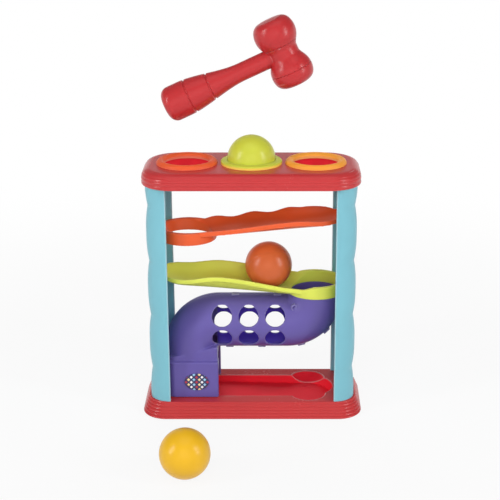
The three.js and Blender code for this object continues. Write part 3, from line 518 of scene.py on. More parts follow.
class Nodes:
    """A node tree, with one method that adds nodes to it."""

    def __init__(self, tree):
        self.tree = tree

    def plug(self, socket, value):
        """Links a wire to a socket, or sets the socket's own value."""
        if isinstance(value, Wire):
            self.tree.links.new(value.socket, socket)
        else:
            socket.default_value = value

    def node(self, kind, settings=None, sockets=None, output=0):
        """Adds a node, sets it up, plugs its sockets and gives one of its outputs."""
        node = self.tree.nodes.new(kind)
        for key, value in (settings or {}).items():
            setattr(node, key, value)
        for key, value in (sockets or {}).items():
            self.plug(node.inputs[key], value)
        return Wire(self, node.outputs[output])

    def seen(self):
        """1 for what is seen, mirrored or looked at through glass, and 0 for light that falls."""
        kinds = ("Is Camera Ray", "Is Glossy Ray", "Is Transmission Ray")
        seen, mirrored, through = (self.node("ShaderNodeLightPath", output=kind) for kind in kinds)
        return (seen + mirrored + through).within(0, 1)


class Finish(Nodes):
    """One material and the wires that make its colour and surface."""

    def __init__(self, name):
        self.material = bpy.data.materials.new(name)
        self.material.use_nodes = True
        super().__init__(self.material.node_tree)
        self.shader = self.tree.nodes["Principled BSDF"]

    def set(self, **sockets):
        for key, value in sockets.items():
            self.plug(self.shader.inputs[key.replace("_", " ")], value)

    def place(self):
        return self.node("ShaderNodeTexCoord", output="Object")

    def axis(self, letter):
        sockets = {"Vector": self.place()}
        return self.node("ShaderNodeSeparateXYZ", sockets=sockets, output=letter)

    def millimetres(self, letters="XYZ"):
        return [self.axis(letter) / MM for letter in letters]

    def noise(self, scale, detail=2):
        """Noise from 0 to 1 whose grains are about 1 / scale metres across."""
        sockets = {"Vector": self.place(), "Scale": scale, "Detail": detail}
        return self.node("ShaderNodeTexNoise", sockets=sockets)

    def colour_mix(self, share, first, second):
        """The first colour where share is 0, the second where it is 1."""
        sockets = {0: share, 6: first, 7: second}
        return self.node("ShaderNodeMix", {"data_type": "RGBA"}, sockets, output=2)

    def pointed(self):
        return self.node("ShaderNodeNewGeometry", output="Pointiness")

    def edges(self):
        """1 on sharp outer edges, where a highlight is painted, and 0 on faces and in corners."""
        return self.pointed().within(*EDGE_POINTED)

    def corners(self):
        """1 in inner corners, where shade is painted as a deeper colour."""
        return 1 - self.pointed().within(*CORNER_POINTED)

    def bump(self, height, distance, strength=1):
        sockets = {"Height": height, "Distance": distance, "Strength": strength}
        self.set(Normal=self.node("ShaderNodeBump", sockets=sockets, output="Normal"))


def linear(red, green, blue):
    """A colour as it is seen, from 0 to 255, as the shader's linear colour."""
    seen = [v / 255 for v in (red, green, blue)]
    return tuple(v / 12.92 if v <= 0.04045 else ((v + 0.055) / 1.055) ** 2.4 for v in seen) + (1,)


def toned(colour, light):
    return tuple(min(1, v * light) for v in colour[:3]) + (1,)


WHITE = (1, 1, 1, 1)
RED = linear(189, 52, 54)
# Painted shade: a deeper red for the hollows of the base and deck, which are the same plastic as
# the red
HOLLOW_SHADE_RED = linear(232, 30, 48)
BLUE = linear(121, 183, 197)
ORANGE = linear(226, 92, 46)
LIME = linear(212, 220, 88)
PURPLE = linear(97, 85, 156)
# Painted shade: a deeper purple for the inside of the tube, which is the same plastic as the purple
HOLLOW_SHADE_PURPLE = linear(80, 54, 184)
AMBER = linear(240, 160, 56)
GOLD = linear(238, 204, 74)
YELLOW = linear(229, 177, 30)
LIME_BALL = linear(197, 203, 66)
ORANGE_BALL = linear(196, 94, 48)
HAMMER_RED = linear(182, 44, 47)
NAVY, LIGHT_NAVY = linear(28, 32, 74), linear(42, 46, 94)
CREAM, SKY = linear(240, 214, 150), linear(150, 196, 226)
CRIMSON, CHALK = linear(176, 34, 58), linear(236, 236, 238)
ZINC, LIGHT_ZINC = linear(168, 170, 174), linear(206, 206, 204)

# Moulded plastic: noise scales per metre, and shares of tone and roughness
PLASTIC_IOR = 1.41
HOLLOW_ROUGHNESS = 0.62
DRIFT_SCALE, DRIFT_DETAIL, DRIFT_ROUGH = 28, 3, 0.1
SPECK_SCALE, SPECK_ROUGH = 420, 0.06
GRAIN_SCALE, PEBBLE_SCALE, SKIN_DEPTH = 1500, 260, 0.0006
# Painted highlight on sharp edges: pointiness bounds, and the share toward white of the highlight
# tone
EDGE_POINTED, HIGHLIGHT_PALE = (0.515, 0.6), 0.45
# Painted shade in inner corners: pointiness bounds, share and darker tone
CORNER_POINTED, CORNER_SHADE_SHARE, CORNER_SHADE_TONE = (0.42, 0.49), 0.25, 0.45
# Share of the painted highlight on rims
RIM_HIGHLIGHT_SHARE = 0.38
BALL_SKIN = {"pebble": 0.02, "mottle": 0.09}
SOFT_SKIN = {"grain": 0.05}

# Badge print and zinc plate
PRINT_CLOUDS, PRINT_SPECKS = 300, 500
PRINT_ROUGHNESS, PRINT_SPECK_ROUGH = 0.28, 0.1
PRINT_IOR, PRINT_COAT, PRINT_COAT_ROUGHNESS = 1.49, 0.4, 0.1
COLOUR_CHANGE = (0.499, 0.501)
ZINC_CLOUDS, ZINC_DETAIL, ZINC_GRAIN = 900, 3, 2500
ZINC_ROUGHNESS, ZINC_CLOUD_ROUGH = 0.28, 0.16
ZINC_DEPTH, ZINC_STRENGTH = 0.0001, 0.4

# Where tones change, in millimetres from an edge
RIM_LINE = (0.3, 1.0)
RIM_INSET = 0.4
RIM_TOP_FADE, RIDGE_FADE = (-1.2, -0.3), (-1, 0)
BASE_END_FADE, BASE_SIDE_FADE, BASE_TOP_FADE = (3, 5), (-3, -1), (-1.4, -0.2)
DECK_END_FADE, DECK_BORE_FADE, DECK_TOP_FADE = (2, 4), (0.2, 1), (-0.5, -0.1)
TUBE_END_FADE, TUBE_BORE_FADE = (7, 9), (0.2, 0.9)
LIP_FADE = (0.7, 1.5)
RING_FADE = (STRETCHED_H * 0.35, STRETCHED_H * 0.75)


def moulded(name, colour, roughness, grain=0.02, pebble=0.0, edge_highlight=0.3, mottle=0.05,
            other=None, rim_highlight_mask=None):
    """Moulded plastic: a faint drift of tone, a fine skin, a painted highlight on sharp edges and
    painted shade in inner corners.

    A patch gives a place another colour and roughness; in the hollows of the base, deck and tube
    that colour is painted shade. The rim mask finds rims where a highlight is painted.
    """
    finish = Finish(name)
    drift = finish.noise(DRIFT_SCALE, DRIFT_DETAIL)
    specks = finish.noise(SPECK_SCALE)
    rough = roughness + (drift - 0.5) * DRIFT_ROUGH + (specks - 0.5) * SPECK_ROUGH
    body = finish.colour_mix(drift, toned(colour, 1 - mottle), toned(colour, 1 + mottle))
    # Painted shade: inner corners mix toward a darker copy of the colour
    body = finish.colour_mix(finish.corners() * CORNER_SHADE_SHARE, body, toned(colour, CORNER_SHADE_TONE))
    if other:
        # In the hollows of the base, deck and tube the patch's colour is painted shade
        where, patch_colour, patch_roughness = other
        share = where(finish)
        body = finish.colour_mix(share, body, patch_colour)
        rough = rough + share * (patch_roughness - roughness)
    pale = mixed(colour, WHITE, HIGHLIGHT_PALE)
    # Painted highlight: sharp edges mix toward a paler copy of the colour
    body = finish.colour_mix(finish.edges() * edge_highlight, body, pale)
    # Painted highlight on the rims that the rim mask finds
    if rim_highlight_mask:
        body = finish.colour_mix(rim_highlight_mask(finish) * RIM_HIGHLIGHT_SHARE, body, pale)
    finish.set(Base_Color=body, Roughness=rough, IOR=PLASTIC_IOR)
    skin_height = finish.noise(GRAIN_SCALE) * grain + finish.noise(PEBBLE_SCALE) * pebble
    finish.bump(skin_height, SKIN_DEPTH)
    return finish


def base_hollow_shade(finish):
    """1 in the base's channel and scoops, where a deeper red is painted as shade."""
    x, y, z = finish.millimetres()
    in_length = x.size().short_of(CHANNEL_END_X + CHANNEL_HALF_W, BASE_END_FADE)
    in_width = y.size().short_of(BASE_TOP[1], BASE_SIDE_FADE)
    return in_length * in_width * z.short_of(BASE_H, BASE_TOP_FADE)


def rim_line(off):
    """1 on a rim that lies where off is 0, and 0 a little way from it."""
    return 1 - off.size().within(*RIM_LINE)


def base_rim_highlight(finish):
    """Where a highlight is painted: 1 on the rims of the base's scoops and channel, also where the
    two meet in a ridge.
    """
    x, y, z = finish.millimetres()
    channel = ((x - CHANNEL_END_X).positive() ** 2 + y ** 2) ** 0.5 - CHANNEL_HALF_W
    bowl = (x - CHANNEL_END_X) ** 2 + (y.size() - SCOOP_Y) ** 2
    ridge_z = BASE_H + SCOOP_LIFT - (SCOOP_R ** 2 - bowl) ** 0.5
    top = z.past(BASE_H, RIM_TOP_FADE)
    ridge = rim_line(z - ridge_z) * (bowl ** 0.5).short_of(SCOOP_RIM, RIDGE_FADE)
    channel_rim = rim_line(channel + RIM_INSET) * (top + ridge)
    return (channel_rim + rim_line(bowl ** 0.5 - SCOOP_RIM) * top).within(0, 1)


def deck_hollow_shade(finish):
    """1 in the deck's three holes, where a deeper red is painted as shade."""
    x, y, z = finish.millimetres()
    off = (x / RING_PITCH + 0.5).fraction() - 0.5
    off_hole = ((off * RING_PITCH) ** 2 + y ** 2) ** 0.5
    in_length = x.size().short_of(RING_PITCH + HOLE_R, DECK_END_FADE)
    in_bore = off_hole.short_of(HOLE_R, DECK_BORE_FADE)
    return in_length * in_bore * z.short_of(DECK_TOP, DECK_TOP_FADE)


def tube_hollow_shade(finish):
    """1 on the inside of the tube's straight run, which shows in its windows; a deeper purple is
    painted there as shade.
    """
    x, y, z = finish.millimetres()
    off_axis = (y ** 2 + (z - TUBE_AXIS_Z) ** 2) ** 0.5
    in_length = x.size().short_of(TUBE_BEND_R, TUBE_END_FADE)
    return in_length * off_axis.short_of(TUBE_BORE_R, TUBE_BORE_FADE)


def panel_lip_highlight(finish):
    """1 on the panels' inner lips, where a highlight is painted."""
    x, = finish.millimetres("X")
    return x.size().short_of(PANEL_EDGE_X, LIP_FADE)


def ring_rim(finish):
    """1 round the low outer rim of the stretched ring."""
    z, = finish.millimetres("Z")
    return z.short_of(DECK_TOP, RING_FADE)


# The base paints shade in its channel and scoops and a highlight on their rims; the deck paints
# shade in its holes
base_red = moulded("base_red_plastic", RED, 0.25, rim_highlight_mask=base_rim_highlight,
                   other=(base_hollow_shade, HOLLOW_SHADE_RED, HOLLOW_ROUGHNESS))
deck_red = moulded("deck_red_plastic", RED, 0.25, other=(deck_hollow_shade, HOLLOW_SHADE_RED, HOLLOW_ROUGHNESS))
# Blue paints a stronger highlight on its edges and on the panels' lips
blue = moulded("blue_moulded_plastic", BLUE, 0.4, edge_highlight=0.45, rim_highlight_mask=panel_lip_highlight)
orange = moulded("orange_moulded_plastic", ORANGE, 0.36)
lime = moulded("lime_moulded_plastic", LIME, 0.38)
# Purple paints shade on the inside of the tube
purple = moulded("purple_moulded_plastic", PURPLE, 0.36,
                 other=(tube_hollow_shade, HOLLOW_SHADE_PURPLE, HOLLOW_ROUGHNESS))
hammer_red = moulded("hammer_plastic", HAMMER_RED, 0.3, grain=0.012)
soft_orange = moulded("orange_soft_ring", ORANGE, 0.5, **SOFT_SKIN)
soft_lime = moulded("lime_soft_ring", LIME_BALL, 0.5, other=(ring_rim, GOLD, 0.4), **SOFT_SKIN)
soft_amber = moulded("yellow_soft_ring", AMBER, 0.5, **SOFT_SKIN)
lime_ball = moulded("lime_ball_plastic", LIME_BALL, 0.31, **BALL_SKIN)
orange_ball = moulded("orange_ball_plastic", ORANGE_BALL, 0.31, **BALL_SKIN)
yellow_ball = moulded("yellow_ball_plastic", YELLOW, 0.31, **BALL_SKIN)


# Base

def side_loops(low, high, z1):
    """Loops up a flared side from a round lower edge, with round ribs standing proud of it."""
    loops = []
    for t in np.linspace(0, 1, BASE_RIBS * RIB_STEPS + 1):
        rib = RIB_PROUD * abs(math.sin(math.pi * t * BASE_RIBS)) ** RIB_ROUND
        tuck = BASE_TUCK * (1 - math.sqrt(1 - max(0, 1 - z1 * t / BASE_TUCK) ** 2))
        loops.append(rim_loop(mixed(low, high, t), z1 * t, rib - tuck))
    return loops


def edge_loops(rim, z, r):
    """Loops that round a rim over onto a flat top."""
    angles = arc(0, 90, 6)[1:]
    return [rim_loop(rim, z + r * math.sin(a), r * math.cos(a) - r) for a in angles]


def channel_distance(x, y):
    """How far points lie outside the ball channel, a straight run to a round end."""
    off_side = np.hypot(np.maximum(x - CHANNEL_END_X, 0), y) - CHANNEL_HALF_W
    return np.maximum(off_side, CHANNEL_START_X - x)


def base_height(x, y):
    """The base's top: a ball channel that falls to its round end, between two finger scoops."""
    along = (x - CHANNEL_START_X) / (CHANNEL_END_X + CHANNEL_HALF_W - CHANNEL_START_X)
    floor_z = CHANNEL_Z_HIGH + (CHANNEL_Z_LOW - CHANNEL_Z_HIGH) * along
    wall = smooth_step(channel_distance(x, y) / CHANNEL_LEAN + 1)
    bowl = np.hypot(x - CHANNEL_END_X, np.abs(y) - SCOOP_Y)
    scoop = BASE_H + SCOOP_LIFT - np.sqrt(np.maximum(SCOOP_R ** 2 - bowl ** 2, SCOOP_LIFT ** 2))
    return np.minimum(floor_z + (BASE_H - floor_z) * wall, scoop)


def base_points():
    """Points over the base's top: an open grid, and close rows where it turns down."""
    half_w, half_d = BASE_TOP[0] - BASE_EDGE_R, BASE_TOP[1] - BASE_EDGE_R
    points = [open_grid(half_w, half_d)]
    bend = arc(-90, 90, 64)
    for inset in CHANNEL_ROWS:
        r = CHANNEL_HALF_W - inset
        run = np.arange(CHANNEL_START_X + inset, CHANNEL_END_X, CHANNEL_STEP)
        end = np.arange(-r, r, CHANNEL_STEP)
        points.append(np.column_stack([CHANNEL_END_X + r * np.cos(bend), r * np.sin(bend)]))
        points.append(np.column_stack([np.full(len(end), CHANNEL_START_X + inset), end]))
        points += [np.column_stack([run, np.full(len(run), side * r)]) for side in (-1, 1)]
    rim_rows = SCOOP_RIM + np.array(SCOOP_RIM_ROWS)
    for r in np.append(np.arange(1, SCOOP_RIM, SCOOP_STEP), rim_rows):
        a = np.arange(0, TURN, SCOOP_STEP / r)
        x, y = CHANNEL_END_X + r * np.cos(a), r * np.sin(a)
        points += [np.column_stack([x, side * SCOOP_Y + y]) for side in (-1, 1)]
    points = np.concatenate(points)
    off_edge = rounded_box_distance(points[:, 0], points[:, 1], half_w, half_d, BASE_TOP[2])
    cells = np.round(points / BASE_POINT_GAP)
    _, first = np.unique(cells, axis=0, return_index=True)
    kept = np.zeros(len(points), bool)
    kept[first] = True
    return points[(off_edge < -BASE_EDGE_CLEAR) & kept]


def base():
    """The tray: a hem below, ribbed flared sides, and a top with the channel and scoops in it."""
    hem = [rim_loop(BASE_LOW, z, -BASE_HEM) for z in (BASE_UNDER_Z, 0)]
    shoulder = BASE_H - BASE_EDGE_R
    sides = side_loops(BASE_LOW, BASE_TOP, shoulder)
    loops = hem + sides + edge_loops(BASE_TOP, shoulder, BASE_EDGE_R)
    under = Form(hem[0], [tuple(range(len(hem[0])))[::-1]])
    top = sheet_in(loops[-1], base_points(), base_height)
    return (skin(loops, ends=False) + under + top).welded()


piece("tray_shell", base(), base_red, "tower", "red_plastic", "base_tray", crease=40)


# Deck

def ring_line(x, r, z, sides=96):
    a = TURN * np.arange(sides) / sides
    return np.column_stack([x + r * np.cos(a), r * np.sin(a), np.full(sides, z)])


def deck_loop(z):
    """The deck's outline at a height: upright below, drawn in by a round shoulder, and ribbed."""
    up = max(0, z - DECK_TOP + DECK_SHOULDER_R) / DECK_SHOULDER_R
    shoulder = DECK_SHOULDER_R * (1 - math.sqrt(1 - up ** 2))
    rib = abs(math.sin(math.pi * DECK_RIBS * (z - DECK_Z) / (DECK_TOP - DECK_Z))) ** RIB_ROUND
    return rim_loop(DECK_SIDE, z, DECK_RIB_PROUD * rib * (1 - up ** 4) - shoulder)


def deck_points(places):
    """Points over the deck's top: an open grid, and close rows about its holes and in its edge."""
    half_w, half_d, r = (v - DECK_SHOULDER_R for v in DECK_SIDE)
    grid = open_grid(half_w, half_d)
    off_holes = np.min([np.hypot(grid[:, 0] - x, grid[:, 1]) for x in places], 0) - HOLE_R
    off_edge = -rounded_box_distance(grid[:, 0], grid[:, 1], half_w, half_d, r)
    rows = [ring_line(x, HOLE_R + out, 0)[:, :2] for x in places for out in EDGE_ROWS]
    rows += [rim_loop(DECK_SIDE, 0, -DECK_SHOULDER_R - inset)[:, :2] for inset in EDGE_ROWS]
    return np.concatenate([grid[(off_holes > ROWS_CLEAR) & (off_edge > ROWS_CLEAR)]] + rows)


def deck():
    """The top: a hollow shell, with a collar down from each of its three holes."""
    ceiling = DECK_TOP - DECK_WALL
    inner_rims = ((ceiling, -DECK_SHOULDER_R), (DECK_Z, -DECK_WALL))
    inside = [rim_loop(DECK_SIDE, z, out) for z, out in inner_rims]
    rise = np.sin(np.linspace(0, math.pi / 2, DECK_LOOPS))
    loops = inside + [deck_loop(z) for z in DECK_Z + (DECK_TOP - DECK_Z) * rise]
    made = skin(loops, ends=False)
    places = (-RING_PITCH, 0, RING_PITCH)
    flat = lambda z: lambda x, y: np.full(len(x), z)
    holes = [ring_line(x, HOLE_R, 0) for x in places]
    made += sheet_in(loops[-1], deck_points(places), flat(DECK_TOP), holes)
    collar_r = HOLE_R + COLLAR_WALL
    collars = [ring_line(x, collar_r, 0) for x in places]
    made += sheet_in(inside[0], [], flat(ceiling), collars).turned_over()
    rims = [(HOLE_R, DECK_TOP - drop) for drop in COLLAR_ROWS]
    rims += [(collar_r, DECK_TOP - COLLAR_H), (collar_r, ceiling)]
    for x in places:
        made += skin([ring_line(x, r, z) for r, z in rims], ends=False)
    return made.welded()


piece("deck_shell", deck(), deck_red, "tower", "red_plastic", "top_deck", crease=40)


# Side panels

def scallop(z):
    """How far the outer side of a panel falls back: shallow bulges between sharp nips."""
    phase = math.pi * (z - BASE_H - SCALLOP_FIRST) / SCALLOP_PITCH
    return -SCALLOP_DEPTH * (1 - abs(math.sin(phase))) ** SCALLOP_POWER


def panel_line(z):
    """The right panel's outline at one height: a C that opens to the middle, with rounded lips."""
    lip = PANEL_LIP
    start = PANEL_EDGE_X + lip
    out_r = PANEL_CORNER_R + scallop(z)
    out_y = PANEL_HALF_D - PANEL_CORNER_R
    in_r = PANEL_CORNER_R - PANEL_WALL
    in_x = PANEL_OUT_X - SCALLOP_DEPTH - PANEL_WALL - in_r
    in_end = math.degrees(math.acos((start - in_x) / in_r))
    in_y = out_y + in_r * math.sin(math.radians(in_end))
    back = []
    for a in arc(0, 90, 16):
        back.append((start + out_r * math.cos(a), out_y + PANEL_CORNER_R * math.sin(a)))
    for a in arc(15, 90, 5):
        back.append((start - lip * math.sin(a), PANEL_HALF_D - lip + lip * math.cos(a)))
    for a in arc(0, 75, 5):
        back.append((start - lip * math.cos(a), in_y + lip - lip * math.sin(a)))
    for a in arc(in_end, 0, 14):
        back.append((in_x + in_r * math.cos(a), out_y + in_r * math.sin(a)))
    front = [(x, -y) for x, y in back[::-1]]
    return np.array([(x, y, z) for x, y in back + front])


def panel(side, tab_heights):
    """A panel on one side (1 right, -1 left), with ledges that hold the ramps' tabs."""
    heights = np.arange(PANEL_LOW, PANEL_HIGH, PANEL_STEP)
    nips = np.arange(BASE_H + SCALLOP_FIRST, PANEL_HIGH, SCALLOP_PITCH)
    near = np.min(np.abs(heights[:, None] - nips), 1)
    heights = np.sort(np.concatenate([heights[near > PANEL_STEP / 3], nips, [PANEL_HIGH]]))
    made = skin([panel_line(z) for z in heights])
    for z in tab_heights:
        for low in (z - TAB_T / 2 - LEDGE_GAP - LEDGE_T, z + TAB_T / 2 + LEDGE_GAP):
            corner = (LEDGE_END_X, TAB_HALF_D, low + LEDGE_T)
            made += block((LEDGE_START_X, -TAB_HALF_D, low), corner)
    if side < 0:
        made = Form(made.points * (-1, 1, 1), made.faces).turned_over()
    return made


# Ramps

def swell(x, middle, left, right):
    """1 at the middle and 0 past its left and right reach."""
    t = min(1, abs(x - middle) / (left if x < middle else right))
    return (1 + math.cos(math.pi * t)) / 2


class Ramp:
    """A gutter from a drop ring on one side (1 right, -1 left) to a dished end on the other.

    lip is the depth of its rims, and front and back give the rims' rise above its floor along x.
    """

    def __init__(self, ring_side, ring_top, floor_z, slope, lip, front, back):
        self.ring_side = ring_side
        self.ring_x = ring_side * DROP_X
        self.ring_top = ring_top
        self.floor = lambda x: floor_z + slope * x
        self.lip = lip
        self.front = front
        self.back = back
        self.end_x = -ring_side * RAMP_END_X
        self.ring_tab_z = ring_top - DROP_RING_H / 2
        self.end_tab_z = self.floor(self.end_x) + front(self.end_x) * (1 - END_NARROW)

    def line(self, x, steps=32):
        """One section's inside, from the front rim over the floor to the back rim."""
        reach = min(1, abs(self.end_x - x) / RAMP_HALF_W)
        narrow = max(END_NARROW, math.sqrt(1 - (1 - reach) ** 2))
        u = np.linspace(-1, 1, steps + 1)
        rims = np.where(u < 0, self.front(x), self.back(x))
        lift = rims * (1 - narrow * (1 - np.abs(u) ** GUTTER_POWER))
        return np.column_stack([np.full(len(u), x), u * RAMP_HALF_W * narrow, self.floor(x) + lift])

    def section(self, x):
        inside = self.line(x)
        under = inside[1:-1] - (0, 0, RAMP_WALL)
        out, down = np.array((0, RAMP_WALL, 0)), np.array((0, 0, self.lip))
        front, back = inside[0] - out, inside[-1] + out
        return np.vstack([front - down, under, back - down, back, inside[::-1], front])

    def height(self, x, y):
        """The gutter's floor at a point near its drop ring."""
        rim = self.front(x) if y < 0 else self.back(x)
        return self.floor(x) + rim * abs(y / RAMP_HALF_W) ** GUTTER_POWER

    def ring_height(self, x, y, inward):
        """The drop ring's top: under the gutter's floor where the ball comes in, low in front."""
        if inward > 0 and abs(y) < RAMP_HALF_W:
            return min(self.ring_top, self.height(x, y) - RAMP_WALL / 4)
        fall = max(0, self.ring_top - self.floor(x) - self.front(x)) * (y < 0)
        return self.ring_top - fall * smooth_step(inward / RING_BLEND)

    def drop_ring(self, low):
        """A ring that stands up to its top, but keeps under the floor where the ball rolls in."""
        radii = np.linspace(DROP_R, DROP_RING_R, DROP_RING_ROWS)
        loops = []
        for a in arc(0, 360, 160):
            x, y = self.ring_x + radii * math.cos(a), radii * math.sin(a)
            inward = (self.ring_x - x) * self.ring_side
            tops = [self.ring_height(*point) for point in zip(x, y, inward)]
            bottom = np.column_stack([x, y, np.full(len(x), low)])
            loops.append(np.vstack([bottom, np.column_stack([x, y, tops])[::-1]]))
        return skin(loops, ends=False).welded().outward()

    def tab(self, side, from_x, z):
        x = sorted((from_x, side * TAB_END_X))
        return block((x[0], -TAB_HALF_D, z - TAB_T / 2), (x[1], TAB_HALF_D, z + TAB_T / 2))

    def mesh(self, name):
        side = self.ring_side
        low = self.ring_top - DROP_RING_H
        quarter = np.linspace(0, 1, RAMP_STATIONS) * math.pi / 2
        stations = self.ring_x + (self.end_x - self.ring_x) * np.sin(quarter)
        at_ring = lambda r, z0, z1: rod(r, z0, z1, FINE_SIDES).moved(self.ring_x)
        changes = [
            cut_by(at_ring(DROP_RING_R - OVERLAP, low - 2 * BALL_R, low + OVERLAP)),
            cut_by(at_ring(DROP_R + OVERLAP, low - BALL_R, self.ring_top + 2 * BALL_R)),
            joined(self.drop_ring(low)),
            joined(self.tab(side, self.ring_x + side * TAB_IN_RING, self.ring_tab_z)),
            joined(self.tab(-side, self.end_x + side * RAMP_HALF_W / 4, self.end_tab_z)),
        ]
        gutter = skin([self.section(x) for x in stations])
        return baked(gutter, changes + softened(RAMP_VOXEL, RAMP_PASSES), name)


def upper_wave(x):
    """Waves along the upper back wall, which end in one long bump that falls off to the right."""
    wave = UPPER_WAVE_H * math.cos(TURN * x / UPPER_WAVE_PITCH)
    calm = smooth_step((x - UPPER_WAVE_PITCH) / (UPPER_WAVE_PITCH / 2))
    end = min(1, max(0, (x - UPPER_DROOP_X) / UPPER_DROOP_LENGTH))
    return wave * (1 - calm) - UPPER_DROOP * end ** 2


upper = Ramp(
    -1, UPPER_RING_TOP, UPPER_FLOOR_Z, UPPER_SLOPE, UPPER_LIP_H,
    lambda x: UPPER_FRONT_H + UPPER_FRONT_SWELL * swell(x, **UPPER_SWELL),
    lambda x: UPPER_BACK_H + UPPER_BACK_RISE * x + upper_wave(x),
)
lower = Ramp(
    1, LOWER_RING_TOP, LOWER_FLOOR_Z, -LOWER_SLOPE, LOWER_LIP_H,
    lambda x: LOWER_FRONT_H + LOWER_FRONT_SWELL * swell(x, **LOWER_SWELL),
    lambda x: LOWER_BACK_H + LOWER_BACK_SWELL * swell(x, **LOWER_SWELL),
)
left_panel = panel(-1, (upper.ring_tab_z, lower.end_tab_z))
right_panel = panel(1, (upper.end_tab_z, lower.ring_tab_z))
piece("left_side", left_panel, blue, "tower", "blue_plastic", "left_panel")
piece("right_side", right_panel, blue, "tower", "blue_plastic", "right_panel")
piece("upper_gutter", upper.mesh("upper_gutter"), orange, "tower", "orange_plastic", "upper_ramp")
piece("lower_gutter", lower.mesh("lower_gutter"), lime, "tower", "lime_plastic", "lower_ramp")


# Soft rings

def ring_turned(section, grip):
    """A ring from its section above the deck, with a short plug in the hole."""
    plug_z = DECK_TOP - RING_PLUG_H
    plug = [(grip + RING_PLUG_TAPER, plug_z), (RING_PLUG_R, plug_z), (RING_PLUG_R, DECK_TOP)]
    profile = section + plug
    return turned(profile + profile[:1], FINE_SIDES).outward()


def soft_ring():
    """A ring with a round outside and an inside that dishes down to its grip."""
    crest = RING_CREST_Z - RING_CREST_DROP
    lip = DECK_TOP + RING_LIP_RISE
    out_w, in_w, rise = RING_FLANGE_R - RING_CREST_R, RING_CREST_R - RING_GRIP_R, crest - DECK_TOP
    section = []
    for a in arc(0, 90, 14):
        section.append((RING_CREST_R + out_w * math.cos(a), DECK_TOP + rise * math.sin(a)))
    for a in arc(0, 90, 14)[1:]:
        dish = math.sin(a) ** RING_DISH
        section.append((RING_CREST_R - in_w * dish, lip + (crest - lip) * math.cos(a)))
    return ring_turned(section, RING_GRIP_R)


def stretched_ring():
    """A ring drawn tight about its ball: a round rim and a top that runs flat to the ball."""
    rim, grip = STRETCHED_RIM_R, RING_STRETCHED_R
    top = DECK_TOP + STRETCHED_H
    section = [(RING_FLANGE_R, DECK_TOP)]
    for a in arc(0, 90, 10):
        section.append((RING_FLANGE_R - rim + rim * math.cos(a), top - rim + rim * math.sin(a)))
    section += [(grip + rim / 4, top + rim / 4), (grip, top), (grip, DECK_TOP)]
    return ring_turned(section, grip)


left_ring, right_ring = (soft_ring().moved(x) for x in (-RING_PITCH, RING_PITCH))
piece("orange_grip", left_ring, soft_orange, "tower", "orange_soft", "ring_orange")
piece("lime_grip", stretched_ring(), soft_lime, "tower", "lime_soft", "ring_lime")
piece("yellow_grip", right_ring, soft_amber, "tower", "yellow_soft", "ring_yellow")


# Tube

def tube_run(radius, top, bottom, sides=72, bend_steps=22):
    """A round bar along the tube's path: down the inlet, round two bends and into the foot."""
    bends = (
        (DROP_X - TUBE_BEND_R, TUBE_AXIS_Z + TUBE_BEND_R, arc(0, -90, bend_steps), 1),
        (TUBE_BEND_R - TUBE_OUTLET_X, TUBE_AXIS_Z - TUBE_BEND_R, arc(90, 180, bend_steps), -1),
    )
    stations = [(DROP_X, top, 0, -1)]
    for x, z, angles, way in bends:
        for a in angles:
            out, up = math.cos(a), math.sin(a)
            stations.append((x + TUBE_BEND_R * out, z + TUBE_BEND_R * up, way * up, -way * out))
    stations.append((-TUBE_OUTLET_X, bottom, 0, -1))
    angles = TURN * np.arange(sides) / sides
    out, across = radius * np.cos(angles), radius * np.sin(angles)
    loops = [np.column_stack([x + tz * out, across, z - tx * out]) for x, z, tx, tz in stations]
    return skin(loops)


def outlet_duct(half_w, half_d, r, z0, z1, lean=0):
    """A square duct round the outlet, with large left corners and a top edge that can lean."""
    edge = FOOT_EDGE_R
    def loop(inset, z, lean):
        left, right = -TUBE_OUTLET_X - half_w + inset, -TUBE_OUTLET_X + half_w - inset
        left_r, right_r = (max(v - inset, FOOT_LEAST_R) for v in (r, edge))
        made = rounded_loop(left, right, half_d - inset, left_r, right_r, z)
        made[:, 2] += lean * (made[:, 0] + TUBE_OUTLET_X)
        return made
    loops = [loop(0, z0, 0)]
    for a in arc(0, 90, 5):
        loops.append(loop(edge - edge * math.cos(a), z1 - edge + edge * math.sin(a), lean))
    return skin(loops)


def seam_lugs(side):
    """One half's small blocks beside the seam, which hold the two halves in line."""
    near, far_y = sorted((side * TUBE_SEAM / 2, side * LUG_HALF_D))
    def loop(inset, z):
        x, y0, y1 = LUG_LENGTH / 2 - inset, near + inset, far_y - inset
        return np.array([(-x, y0, z), (x, y0, z), (x, y1, z), (-x, y1, z)])
    top = LUG_PROUD - LUG_EDGE
    rows = ((LUG_EDGE, -LUG_PROUD), (0, -top), (0, top), (LUG_EDGE, LUG_PROUD))
    lug = skin([loop(inset, z) for inset, z in rows])
    lugs = [lug.moved(x, 0, TUBE_AXIS_Z + TUBE_R - LUG_TOP_SINK) for x in LUG_TOP_X]
    lugs += [lug.moved(x, 0, TUBE_AXIS_Z - TUBE_R) for x in LUG_BOTTOM_X]
    reach = TUBE_BEND_R + TUBE_R
    for degrees in LUG_BEND_ANGLES:
        a = math.radians(degrees)
        x = DROP_X - TUBE_BEND_R + reach * math.sin(a)
        z = TUBE_AXIS_Z + TUBE_BEND_R - reach * math.cos(a)
        lugs.append(lug.turned_by(-degrees, "Y").moved(x, 0, z))
    return sum(lugs[1:], lugs[0])


